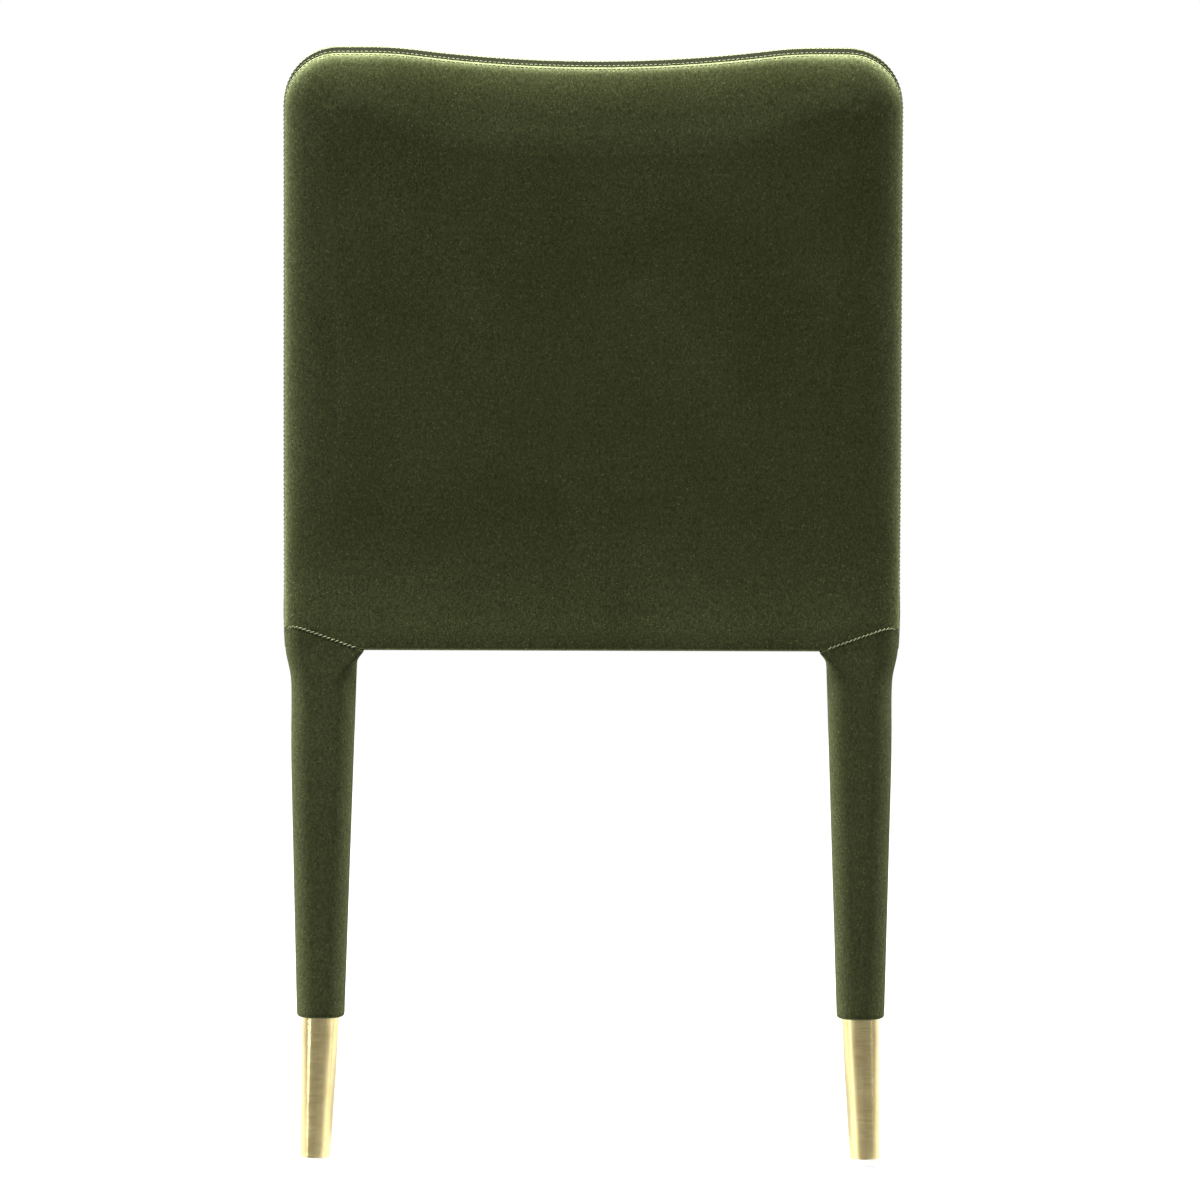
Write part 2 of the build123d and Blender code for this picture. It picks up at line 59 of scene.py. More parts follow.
Row = list[Vector]
Span = tuple[float, float]
Point = tuple[float, float]
Spot = tuple[float, float, float]
Column = tuple[int, float]
Corner = tuple[float, float, float, float]
Flat = list[tuple[float, float, float, float]]
Socket = bpy.types.NodeSocket
Finish = bpy.types.Material
Piece = bpy.types.Object


def linear(code: str) -> tuple[float, float, float, float]:
    """Turns an sRGB hex colour into linear light.

    Args:
        code: colour as "#RRGGBB".

    Returns:
        Linear red, green, blue and an alpha of 1.
    """
    shares = [int(code[place : place + 2], 16) / 255 for place in (1, 3, 5)]
    light = [s / 12.92 if s <= 0.04045 else ((s + 0.055) / 1.055) ** 2.4 for s in shares]
    return (light[0], light[1], light[2], 1.0)


def per_metre(size_mm: float) -> float:
    """Texture scale that makes one feature as wide as a real size."""
    return 1.0 / (size_mm * MM)


def smooth_step(start: float, end: float, value: float) -> float:
    """Eases from 0 at start to 1 at end."""
    share = min(1.0, max(0.0, (value - start) / (end - start)))
    return share * share * (3 - 2 * share)


def between(start: float, end: float, share: float) -> float:
    """Gives the value at a share of the way from start to end."""
    return start + (end - start) * share


def mirrored(left: Flat) -> Flat:
    """Draws the right half of an outline from its left half, which ends on the middle line."""
    return [(-across, along, -out_x, out_y) for across, along, out_x, out_y in left[-2::-1]]


def add_node(
    tree: bpy.types.NodeTree,
    kind: str,
    sockets: dict[Any, Any] | None = None,
    links: dict[Any, Socket] | None = None,
    **settings: Any,
) -> bpy.types.Node:
    """Adds a shader node with its settings and links.

    Args:
        tree: node tree that gets the node.
        kind: the node's type.
        sockets: values for its inputs, by name or place.
        links: output sockets of other nodes for its inputs, by name or place.
        settings: the node's own properties.

    Returns:
        The new node.
    """
    node = tree.nodes.new(kind)
    for name, value in settings.items():
        setattr(node, name, value)
    for key, value in (sockets or {}).items():
        node.inputs[key].default_value = value
    for key, source in (links or {}).items():
        tree.links.new(source, node.inputs[key])
    return node


# The wave repeats about 3.2 times in its unit, so threads lie about three widths apart.
THREAD_SPACING = 10.0
# Places of a colour mix's share, its two colours and its result among its sockets.
MIX_SHARE, MIX_FIRST, MIX_SECOND, MIX_RESULT = 0, 6, 7, 2


class Shading:
    """The node tree of one material, laid out in the object's own space."""

    def __init__(self, name: str) -> None:
        """Starts a material with an empty tree.

        Args:
            name: the material's name.
        """
        self.material = bpy.data.materials.new(name)
        self.material.use_nodes = True
        self.tree = self.material.node_tree
        self.tree.nodes.clear()
        self.place = add_node(self.tree, "ShaderNodeTexCoord").outputs["Object"]

    def stretched(self, scale: Spot) -> Socket:
        """Gives the place with each axis scaled; a pattern is drawn out along the small ones."""
        node = add_node(self.tree, "ShaderNodeMapping", {"Scale": scale}, {"Vector": self.place})
        return node.outputs[0]

    def noise(self, size_mm: float, place: Socket | None = None, **inputs: float) -> Socket:
        """Gives an uneven pattern.

        Args:
            size_mm: real size of one feature.
            place: where the pattern is laid, if not at the plain place.
            inputs: values for the pattern's other inputs.

        Returns:
            The pattern's strength.
        """
        values = {"Scale": per_metre(size_mm), **inputs}
        links = {"Vector": self.place if place is None else place}
        return add_node(self.tree, "ShaderNodeTexNoise", values, links).outputs["Fac"]

    def ranged(self, value: Socket, span: Span, to: Span = (0.0, 1.0)) -> Socket:
        """Carries a span of values over to another, and stops at its ends."""
        values = {"From Min": span[0], "From Max": span[1], "To Min": to[0], "To Max": to[1]}
        return add_node(self.tree, "ShaderNodeMapRange", values, {"Value": value}).outputs["Result"]

    def combined(self, operation: str, first: Socket, second: Socket) -> Socket:
        """Gives the sum or the product of two values."""
        links = {0: first, 1: second}
        return add_node(self.tree, "ShaderNodeMath", {}, links, operation=operation).outputs[0]

    def blend(self, share: Socket, first: str | Socket, second: str) -> Socket:
        """Blends two colours.

        Args:
            share: share of the second colour.
            first: a hex colour, or the colour that another node gives.
            second: a hex colour.

        Returns:
            The blended colour.
        """
        values: dict[int, Any] = {MIX_SECOND: linear(second)}
        links = {MIX_SHARE: share}
        if isinstance(first, str):
            values[MIX_FIRST] = linear(first)
        else:
            links[MIX_FIRST] = first
        mix = add_node(self.tree, "ShaderNodeMix", values, links, data_type="RGBA")
        return mix.outputs[MIX_RESULT]

    def relief(self, height: Socket, strength: float, deep_mm: float) -> Socket:
        """Gives the direction of the surface over the hills of a pattern."""
        values = {"Strength": strength, "Distance": deep_mm * MM}
        return add_node(self.tree, "ShaderNodeBump", values, {"Height": height}).outputs["Normal"]

    def surface(self, links: dict[str, Socket], values: dict[str, Any]) -> Finish:
        """Ends the tree with a surface.

        Args:
            links: what other nodes give for the surface's inputs.
            values: plain values for its other inputs.

        Returns:
            The finished material.
        """
        shader = add_node(self.tree, "ShaderNodeBsdfPrincipled", values, links)
        add_node(self.tree, "ShaderNodeOutputMaterial", {}, {"Surface": shader.outputs[0]})
        return self.material

    def weave(self, thread_mm: float) -> Socket:
        """Gives a pattern of two crossing sets of threads.

        Args:
            thread_mm: real width of one thread.

        Returns:
            The pattern's strength.
        """
        values = {
            "Scale": per_metre(thread_mm) / THREAD_SPACING,
            "Distortion": 0.6,
            "Detail": 1.0,
            "Detail Scale": 2.0,
        }
        crowns = []
        for direction in ("X", "Y"):
            links = {"Vector": self.place}
            threads = add_node(
                self.tree, "ShaderNodeTexWave", values, links, bands_direction=direction
            )
            crowns.append(threads.outputs["Fac"])
        return self.combined("MULTIPLY", *crowns)


class Slot(Enum):
    """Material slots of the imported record."""

    VELVET = "velvet"
    TIMBER = "frame_timber"
    PLYWOOD = "plywood"
    FOAM = "foam"
    WEBBING = "webbing"
    DUST_CLOTH = "dust_cloth"
    BRASS = "satin_brass"
    NYLON = "nylon"


class PanelSide(Enum):
    """The two faces of the back."""

    OUTSIDE = "outside"
    INSIDE = "inside"


@dataclass(frozen=True)
class CutVelvet:
    """Cotton velvet, woven with a pile that is cut short and brushed one way.

    The colour is dark where the surface faces the eye and blends to a painted sheen where it turns
    away, with soft patches where the pile leans differently.
    """

    name: str = "cut_cotton_velvet"
    depth_colour: str = "#1F2210"
    tip_colour: str = "#252816"
    painted_sheen_colour: str = "#6C7350"
    painted_sheen_span: Span = (0.03, 1.0)
    sheen: float = 0.04
    sheen_roughness: float = 0.3
    roughness: float = 0.9
    refraction: float = 1.45
    gloss: float = 0.04
    fibre_mm: float = 0.7
    pile_row_mm: float = 1.6
    row_stretch: Spot = (1.0, 1.0, 0.6)
    tuft_span: Span = (0.7, 1.3)
    tuft_light: Span = (0.5, 1.5)
    stray_mm: float = 1.1
    stray_span: Span = (0.62, 0.76)
    painted_glint_gain: Span = (0.0, 1.8)
    nap_mm: float = 95.0
    nap_span: Span = (0.3, 0.7)
    nap_mix: Span = (0.18, 0.82)
    pile_relief: float = 0.55
    pile_relief_mm: float = 0.22

    def material(self) -> Finish:
        """Builds the velvet from a fine fibre speckle, faint pile rows and broad brushed patches.

        Returns:
            The finished material.
        """
        shading = Shading(self.name)
        nap = shading.noise(self.nap_mm, Detail=2.0, Roughness=0.45, Distortion=0.6)
        patches = shading.ranged(nap, self.nap_span, self.nap_mix)
        ground = shading.blend(patches, self.depth_colour, self.tip_colour)
        # Painted sheen: where the surface turns from the eye, the colour blends to the sheen
        # colour, standing for light on the sides of the fibres.
        facing = add_node(shading.tree, "ShaderNodeLayerWeight", {"Blend": 0.5}).outputs["Facing"]
        pile = shading.blend(shading.ranged(facing, self.painted_sheen_span), ground, self.painted_sheen_colour)
        # Single fibres are finer than a pixel, so the speckle is drawn at the size of a small tuft.
        fibre = shading.noise(self.fibre_mm, Detail=3.0, Roughness=0.65)
        rows = shading.noise(self.pile_row_mm, shading.stretched(self.row_stretch), Detail=2.0)
        tufts = shading.combined("ADD", fibre, rows)
        mottle = shading.ranged(tufts, self.tuft_span, self.tuft_light)
        # Painted glints: a few stray fibres are painted paler, as if they stood up from the rest
        # and caught the light.
        stray = shading.noise(self.stray_mm, Detail=1.0)
        pale = shading.ranged(stray, self.stray_span, self.painted_glint_gain)
        speckle = {0: pile, "Scale": shading.combined("ADD", mottle, pale)}
        colour = add_node(shading.tree, "ShaderNodeVectorMath", {}, speckle, operation="SCALE")
        relief = shading.relief(tufts, self.pile_relief, self.pile_relief_mm)
        return shading.surface(
            {"Base Color": colour.outputs[0], "Normal": relief},
            {
                "Roughness": self.roughness,
                "IOR": self.refraction,
                "Specular IOR Level": self.gloss,
                "Sheen Weight": self.sheen,
                "Sheen Roughness": self.sheen_roughness,
                "Sheen Tint": linear(self.painted_sheen_colour),
            },
        )


VELVET = CutVelvet()
# Painted shade for the border over the crest: a darker copy, darkest where seen along it, no sheen.
SHADED_BAND_VELVET = CutVelvet(
    "cut_cotton_velvet_band_painted_shade", "#1B1D0E", "#20220F", "#0B0D05", sheen=0.0
)
# Painted shade for the seat's top: a darker copy of the velvet, with hardly any painted sheen.
SHADED_SEAT_VELVET = CutVelvet("cut_cotton_velvet_seat_painted_shade", "#1C1E0D", "#212411", "#272B18")
# For the legs: a darker copy of the velvet, with a fainter painted sheen.
SLEEVE_VELVET = CutVelvet("cut_cotton_velvet_darker_for_sleeves", "#191C0D", "#1E2111", "#4E5337")


@dataclass(frozen=True)
class BrushedBrass:
    """Brass tube, spun and brushed round its axis, then lacquered.

    Fine rings soften each reflection along the leg, so bands of light run up and down the ferrule.
    """

    name: str = "brushed_lacquered_brass"
    bright_colour: str = "#E2D3A0"
    dull_colour: str = "#CBB77E"
    ring_mm: float = 0.45
    ring_stretch: Spot = (0.03, 0.03, 1.0)
    ring_span: Span = (0.3, 0.7)
    relief: Span = (0.05, 0.02)
    cloud_mm: float = 18.0
    roughness: Span = (0.12, 0.22)

    def material(self) -> Finish:
        """Builds the brass with brushed rings and a faint uneven tarnish.

        Returns:
            The finished material.
        """
        shading = Shading(self.name)
        rings = shading.noise(self.ring_mm, shading.stretched(self.ring_stretch), Detail=2.0)
        cloud = shading.noise(self.cloud_mm, Detail=3.0)
        return shading.surface(
            {
                "Base Color": shading.blend(cloud, self.bright_colour, self.dull_colour),
                "Roughness": shading.ranged(rings, self.ring_span, self.roughness),
                "Normal": shading.relief(rings, *self.relief),
            },
            {"Metallic": 1.0},
        )


class Pattern(Enum):
    """What marks a two-toned surface: an uneven grain, or two crossing sets of threads."""

    GRAIN = "grain"
    WEAVE = "weave"


@dataclass(frozen=True)
class TwoToned:
    """A surface in two tones, whose colour and relief follow one pattern.

    relief is the strength of the relief and its height in millimetres, surface holds plain values
    for the surface's inputs, and noise those for the grain's.
    """

    name: str
    low_colour: str
    high_colour: str
    feature_mm: float
    relief: Span | None
    surface: dict[str, Any]
    noise: dict[str, float] = field(default_factory=dict)
    stretch: Spot | None = None
    pattern: Pattern = Pattern.GRAIN

    def marks(self, shading: Shading) -> Socket:
        """Draws the pattern.

        Args:
            shading: the material's node tree.

        Returns:
            The pattern's strength.
        """
        if self.pattern is Pattern.WEAVE:
            return shading.weave(self.feature_mm)
        place = shading.stretched(self.stretch) if self.stretch else None
        return shading.noise(self.feature_mm, place, **self.noise)

    def material(self) -> Finish:
        """Builds the surface.

        Returns:
            The finished material.
        """
        shading = Shading(self.name)
        marks = self.marks(shading)
        links = {"Base Color": shading.blend(marks, self.low_colour, self.high_colour)}
        if self.relief:
            links["Normal"] = shading.relief(marks, *self.relief)
        return shading.surface(links, self.surface)


# Spun polyester sewing thread, twisted from two plies and dyed a shade paler than the velvet: the
# eye sees short light and dark flecks with a soft shine.
THREAD = TwoToned(
    "spun_polyester_thread",
    "#3C4024",
    "#62673F",
    feature_mm=0.5,
    relief=(0.4, 0.1),
    surface={"Roughness": 0.6, "IOR": 1.5, "Sheen Weight": 0.3, "Sheen Roughness": 0.4},
    noise={"Detail": 1.0},
)
# Natural nylon, injection moulded: milky, with light passing a little way in, and scuffed dull.
NYLON = TwoToned(
    "moulded_natural_nylon",
    "#F4F5F2",
    "#D9DAD4",
    feature_mm=3.0,
    relief=(0.2, 0.1),
    surface={
        "Roughness": 0.42,
        "IOR": 1.53,
        "Subsurface Weight": 0.4,
        "Subsurface Radius": (0.004, 0.004, 0.004),
        "Subsurface Scale": 1.0,
    },
    noise={"Detail": 4.0},
)
# Beech, planed and left without finish: straight grain lines in two tones, matt.
BEECH = TwoToned(
    "planed_beech",
    "#D2AC7E",
    "#A87D50",
    feature_mm=4.0,
    relief=(0.25, 0.15),
    surface={"Roughness": 0.62, "IOR": 1.5},
    noise={"Detail": 5.0, "Roughness": 0.6, "Distortion": 0.4},
    stretch=(1.0, 1.0, 0.06),
)
# Birch veneers, glued and bent: a paler and broader grain.
PLYWOOD = replace(
    BEECH,
    name="bent_birch_plywood",
    low_colour="#DDBD90",
    high_colour="#BC9463",
    feature_mm=6.0,
)
# Elastic webbing, woven from plain threads: a black ground with paler thread crowns.
WEBBING = TwoToned(
    "woven_elastic_webbing",
    "#0C0C0E",
    "#2A2A2E",
    feature_mm=1.6,
    relief=(0.5, 0.25),
    surface={"Roughness": 0.8, "IOR": 1.5, "Sheen Weight": 0.15, "Sheen Roughness": 0.5},
    pattern=Pattern.WEAVE,
)
# Dust cloth, spunbonded and pressed in a fine grid: nearly black and nearly flat.
DUST_CLOTH = replace(
    WEBBING,
    name="spunbonded_dust_cloth",
    low_colour="#08080A",
    high_colour="#1C1C1F",
    feature_mm=2.4,
    relief=(0.5, 0.1),
)
# Foam, cut from a block: cream, with a coarse even dimple.
FOAM = replace(
    WEBBING, name="cut_foam", low_colour="#C9BE9C", high_colour="#E6DCBE", feature_mm=3.0
)
# Opal acrylic sheet, cast and lit from below: an even white with a barely visible matt grain.
STUDIO_FLOOR = TwoToned(
    "lit_opal_acrylic",
    "#6A6A69",
    "#6E6E6E",
    feature_mm=2.0,
    relief=None,
    surface={
        "Roughness": 0.9,
        "Emission Color": linear("#FFFFFF"),
        "Emission Strength": 0.9,
    },
    noise={"Detail": 2.0},
)


class Skin:
    """A cloth surface gathered row by row, in millimetres."""

    def __init__(self) -> None:
        """Starts an empty skin."""
        self.points: Row = []
        self.faces: list[tuple[int, ...]] = []

    def row(self, points: Iterable[Vector]) -> list[int]:
        """Adds a row of points.

        Args:
            points: the row, in order.

        Returns:
            The places of its points in the skin.
        """
        start = len(self.points)
        self.points.extend(points)
        return list(range(start, len(self.points)))

    def weave(self, rows: Sequence[Sequence[int]], closed: bool = False) -> None:
        """Joins rows of equal length with quads.

        Args:
            rows: rows of point places, in order.
            closed: whether each row is a ring.
        """
        for low, high in zip(rows, rows[1:]):
            count = len(low)
            for place in range(count if closed else count - 1):
                after = (place + 1) % count
                self.faces.append((low[place], low[after], high[after], high[place]))

    def extend(
        self, edge: Sequence[int], rows: Iterable[Row], closed: bool = False
    ) -> list[list[int]]:
        """Adds rows after an edge that is there already and joins them to it.

        Args:
            edge: places of the edge's points.
            rows: the rows, in order.
            closed: whether each row is a ring.

        Returns:
            The places of each row's points.
        """
        added = [self.row(row) for row in rows]
        self.weave([edge] + added, closed)
        return added

    def piece(self, name: str, outward: Vector | None = None) -> Piece:
        """Makes the skin an object.

        Args:
            name: the object's name.
            outward: a direction that most of the skin faces, to set which way is out.

        Returns:
            The new object, in the scene and riding on the chair.
        """
        mesh = bpy.data.meshes.new(name)
        mesh.from_pydata([point * MM for point in self.points], [], self.faces)
        mesh.validate()
        sides = bmesh.new()
        sides.from_mesh(mesh)
        bmesh.ops.recalc_face_normals(sides, faces=sides.faces)
        sides.to_mesh(mesh)
        sides.free()
        if outward is not None:
            facing = sum((face.normal * face.area for face in mesh.polygons), Vector())
            if facing.dot(outward) < 0:
                mesh.flip_normals()
        mesh.shade_smooth()
        piece = bpy.data.objects.new(name, mesh)
        bpy.context.scene.collection.objects.link(piece)
        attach(piece, "root")
        log.info("%s: %d faces before smoothing", name, len(self.faces))
        return piece


def dress(piece: Piece, finish: Finish, levels: int = 1) -> None:
    """Gives a soft piece its finish and smooths it.

    Args:
        piece: the object.
        finish: its material.
        levels: levels of subdivision.
    """
    piece.data.materials.append(finish)
    if levels:
        smoothing = piece.modifiers.new("smoothing", "SUBSURF")
        smoothing.levels = levels
        smoothing.render_levels = levels


@dataclass(frozen=True)
class Stuffing:
    """Padding that presses a sewn cover outward: a cloth simulation with the edges held."""

    pressure: float = 5.0
    most_mm: float = 1.0
    frames: int = 20
    stiffness: float = 18.0
    bending: float = 1.5
    damping: float = 6.0
    point_mass: float = 0.3
    quality: int = 6

    def fill(self, piece: Piece, sewn: Sequence[int], way: Vector) -> None:
        """Swells a cover and keeps the result in its mesh.

        Args:
            piece: the cover, before any other modifier.
            sewn: places of the points that stay where they are.
            way: direction in which the padding pushes.
        """
        held = piece.vertex_groups.new(name="sewn")
        held.add(list(sewn), 1.0, "REPLACE")
        cloth = piece.modifiers.new("stuffing", "CLOTH")
        rules = cloth.settings
        rules.quality = self.quality
        rules.mass = self.point_mass
        rules.vertex_group_mass = held.name
        rules.tension_stiffness = self.stiffness
        rules.compression_stiffness = self.stiffness
        rules.shear_stiffness = self.stiffness
        rules.bending_stiffness = self.bending
        rules.air_damping = self.damping
        rules.use_pressure = True
        rules.uniform_pressure_force = self.pressure
        rules.effector_weights.gravity = 0.0
        cloth.collision_settings.use_collision = False
        cloth.point_cache.frame_start = 1
        cloth.point_cache.frame_end = self.frames
        scene = bpy.context.scene
        for step in range(1, self.frames + 1):
            scene.frame_set(step)
        seen = piece.evaluated_get(bpy.context.evaluated_depsgraph_get())
        swollen = [point.co.copy() for point in seen.data.vertices]
        piece.modifiers.remove(cloth)
        piece.vertex_groups.remove(held)
        most = self.most_mm * MM
        for point, place in zip(piece.data.vertices, swollen):
            push = max(0.0, (place - point.co).dot(way))
            point.co += way * (most * math.tanh(push / most))
        scene.frame_set(1)


@dataclass(frozen=True)
class BackShape:
    """The reclined back, as the solid model has it.

    It is a bent slab with a dipped crest and round shoulders.
    """

    half_width: float = 244.8
    thickness: float = 54.0
    rear_face: float = 207.0
    crest_height: float = 889.0
    recline: float = 10.5
    recline_start: float = 466.0
    recline_radius: float = 600.0
    crest_dip: float = 11.0
    dip_half_width: float = 157.0
    shoulder_blend: float = 290.0
    crest_corner: float = 43.0
    rear_seam: float = 16.0
    front_seam: float = 40.0
    crest_ease: float = 0.7
    crest_ease_span: Span = (45.0, 125.0)
    foot_ease_span: Span = (0.1, 0.35)
    top_taper: float = 0.008
    settle_rounds: int = 12
    side_steps: int = 46
    corner_steps: int = 12
    shoulder_steps: int = 4
    blend_steps: int = 5
    crest_steps: int = 18

    def face(self, height: float) -> float:
        """Finds the outside of the back.

        Args:
            height: a height above the floor.

        Returns:
            How far back the outside stands there, along Y.
        """
        lean = math.radians(self.recline)
        rise = height - self.recline_start + self.recline_radius * math.tan(lean / 2)
        if rise <= 0:
            return self.rear_face
        if rise < self.recline_radius * math.sin(lean):
            sunk = math.sqrt(self.recline_radius**2 - rise**2)
            return self.rear_face + self.recline_radius - sunk
        return self.rear_face + math.tan(lean) * (height - self.recline_start)

    def up(self) -> Vector:
        """Gives the direction up the reclined back."""
        lean = math.radians(self.recline)
        return Vector((0, math.sin(lean), math.cos(lean)))

    def square(self) -> Vector:
        """Gives the direction out of the outside back, square to the recline."""
        lean = math.radians(self.recline)
        return Vector((0, math.cos(lean), -math.sin(lean)))

    def crest(self) -> Vector:
        """Gives the point of the middle line at the height of the crest's two peaks."""
        return Vector((0, self.face(self.crest_height) - self.front_seam, self.crest_height))

    def along(self, height: float, depth: float) -> float:
        """Gives the distance up the back, from the crest, of a height at a depth from the face."""
        return (Vector((0, self.face(height) - depth, height)) - self.crest()).dot(self.up())

    def point(self, across: float, along: float, depth: float) -> Vector:
        """Finds a point of the back.

        Args:
            across: distance from the middle line.
            along: distance up the back from the crest.
            depth: distance forward from the outside back's face.

        Returns:
            The point.
        """
        spot = self.crest() + self.up() * along + Vector((across, 0, 0))
        for _ in range(self.settle_rounds):
            miss = self.face(spot.z) - depth - spot.y
            spot += self.square() * (miss * self.square().y)
        rise = smooth_step(self.recline_start, self.crest_height, spot.z)
        spot.x *= 1 - self.top_taper * rise
        return spot

    def shoulder(self) -> Flat:
        """Draws half of the top outline, from the corner on the side to the middle of the crest.

        Returns:
            Points across and along, each with its outward direction.
        """
        dip, blend, corner = self.crest_dip, self.shoulder_blend, self.crest_corner
        bow = (self.dip_half_width**2 + dip**2) / (2 * dip)
        turn_across = math.sqrt(dip * (2 * (bow + blend) - dip))
        turn_angle = math.asin(turn_across / (bow + blend))
        corner_across = self.half_width - corner
        line: Flat = []
        for step in range(self.corner_steps + 1):
            angle = math.pi / 2 * step / self.corner_steps
            out = (math.cos(angle), math.sin(angle))
            line.append((corner_across + corner * out[0], -corner + corner * out[1], *out))
        for step in range(1, self.shoulder_steps + 1):
            share = step / self.shoulder_steps
            line.append((between(corner_across, turn_across, share), 0.0, 0.0, 1.0))
        for step in range(1, self.blend_steps + 1):
            angle = turn_angle * step / self.blend_steps
            out = (-math.sin(angle), math.cos(angle))
            line.append((turn_across + blend * out[0], -blend + blend * out[1], *out))
        for step in range(1, self.crest_steps + 1):
            angle = turn_angle * (1 - step / self.crest_steps)
            out = (-math.sin(angle), math.cos(angle))
            line.append((-bow * out[0], bow - dip - bow * out[1], *out))
        return line

    def outline(self, low: float, inset: float, foot_inset: float) -> Flat:
        """Draws the whole outline over the top, from the left side's foot to the right side's foot.

        Args:
            low: how far along the back the sides start.
            inset: distance that the outline is taken in.
            foot_inset: the same at the foot of the sides.

        Returns:
            Points across and along, each with its outward direction.
        """
        top = -self.crest_corner
        left: Flat = []
        for step in range(self.side_steps):
            share = step / self.side_steps
            taken = between(foot_inset, inset, smooth_step(*self.foot_ease_span, share))
            left.append((self.half_width - taken, between(low, top, share), 1.0, 0.0))
        start, end = (self.half_width - reach for reach in self.crest_ease_span)
        for across, along, *out in self.shoulder():
            wide = inset * (1 + self.crest_ease * smooth_step(start, end, across))
            left.append((across - wide * out[0], along - wide * out[1], *out))
        return left + mirrored(left)

    def outline_corner(self) -> int:
        """Gives the place in the outline of the middle of the left corner."""
        return self.side_steps + self.corner_steps // 2


@dataclass(frozen=True)
class LegSeam:
    """Slanted seam where a leg sleeve meets the upholstery.

    It is high at the chair's corner and level with the rail's underside at both ends.
    """

    corner_across: float
    corner_place: float
    reach_across: float
    reach_place: float
    rail_underside: float = 409.0
    rise: float = 23.0

    def height(self, across: float, place: float) -> float:
        """Finds the seam's height.

        Args:
            across: distance from the middle line, on either side.
            place: place along Y.

        Returns:
            Height of the seam there, at least the rail's underside.
        """
        drop = (self.corner_across - abs(across)) / self.reach_across
        drop += abs(self.corner_place - place) / self.reach_place
        return self.rail_underside + self.rise * min(1.0, max(0.0, 1 - drop))


REAR_SEAM = LegSeam(
    BackShape.half_width, BackShape.rear_face, reach_across=63.8, reach_place=38.5
)
# Seams this close to the rail's underside count as level with it.
LEVEL_MM = 0.01
# Along a stitch: place as a share of its length, thickness and lift as shares of its radius.
STITCH_PROFILE = (
    (-0.5, 0.5, -0.7),
    (-0.36, 0.95, 0.05),
    (0.0, 1.0, 0.45),
    (0.36, 0.95, 0.05),
    (0.5, 0.5, -0.7),
)
# A cloth's edge turns into a seam in these steps, and one more row goes straight in.
TURN_ANGLES = (math.pi / 6, math.pi / 3, math.pi / 2)
TUCK_ROWS = len(TURN_ANGLES) + 1
# Radius of that turn at a sewn seam, and how far the cloth goes in after it.
SEAM_TURN = 1.2
SEAM_DEEP = 4.0


@dataclass
class Topstitch:
    """Rows of stitches lying on the cloth, each stitch sunk a little at its ends."""

    name: str
    stitch: float = 2.7
    pitch: float = 3.6
    thread: float = 0.75
    sides: int = 6
    skin: Skin = field(default_factory=Skin)

    def sew(self, line: Row, out: Row, slant: float = 0.0) -> None:
        """Adds one row of stitches.

        Args:
            line: points along the row.
            out: direction out of the cloth at each point.
            slant: how far each stitch turns across the row, as a share of its length.
        """
        travelled = [0.0]
        for before, after in zip(line, line[1:]):
            travelled.append(travelled[-1] + (after - before).length)
        count = int(travelled[-1] / self.pitch)
        segment = 0
        for number in range(count):
            wanted = (number + 0.5) * travelled[-1] / count
            while travelled[segment + 1] < wanted:
                segment += 1
            length = travelled[segment + 1] - travelled[segment]
            share = (wanted - travelled[segment]) / length
            middle = line[segment].lerp(line[segment + 1], share)
            normal = out[segment].lerp(out[segment + 1], share).normalized()
            ahead = (line[segment + 1] - line[segment]).normalized()
            self._stitch(middle, (ahead + normal.cross(ahead) * slant).normalized(), normal)

    def _stitch(self, middle: Vector, ahead: Vector, normal: Vector) -> None:
        """Adds one stitch.

        Args:
            middle: its middle, on the cloth.
            ahead: its direction.
            normal: direction out of the cloth.
        """
        beside = ahead.cross(normal)
        radius = self.thread / 2
        rings = []
        for share, size, lift in STITCH_PROFILE:
            centre = middle + ahead * (self.stitch * share) + normal * (radius * lift)
            ring = []
            for side in range(self.sides):
                angle = 2 * math.pi * side / self.sides
                spoke = beside * math.cos(angle) + normal * math.sin(angle)
                ring.append(centre + spoke * (radius * size))
            rings.append(self.skin.row(ring))
        self.skin.weave(rings, closed=True)
        self.skin.faces.append(tuple(reversed(rings[0])))
        self.skin.faces.append(tuple(rings[-1]))

    def finish(self, thread: Finish) -> Piece:
        """Makes the stitches an object.

        Args:
            thread: the thread's material.

        Returns:
            The object.
        """
        piece = self.skin.piece(self.name)
        dress(piece, thread, levels=0)
        return piece


def tuck(
    edge: Row, onward: Row, inward: Row, radius: float = SEAM_TURN, deep: float = SEAM_DEEP
) -> list[Row]:
    """Turns the edge of a cloth into a seam.

    Args:
        edge: the cloth's last row.
        onward: direction in which the cloth runs out, at each point.
        inward: direction into the chair, at each point.
        radius: radius of the turn.
        deep: how far the cloth goes in after the turn.

    Returns:
        The rows after the edge.
    """
    rows = []
    for angle in TURN_ANGLES:
        ahead, down = radius * math.sin(angle), radius * (1 - math.cos(angle))
        places = zip(edge, onward, inward)
        rows.append([point + on * ahead + into * down for point, on, into in places])
    rows.append([point + into * deep for point, into in zip(rows[-1], inward)])
    return rows


def shares(line: Sequence[Point]) -> list[float]:
    """Gives how far along a line each of its points is.

    Args:
        line: points of the line.

    Returns:
        A share of the line's length for each point, from 0 to 1.
    """
    travelled = [0.0]
    for before, after in zip(line, line[1:]):
        travelled.append(travelled[-1] + math.dist(before, after))
    return [length / travelled[-1] for length in travelled]


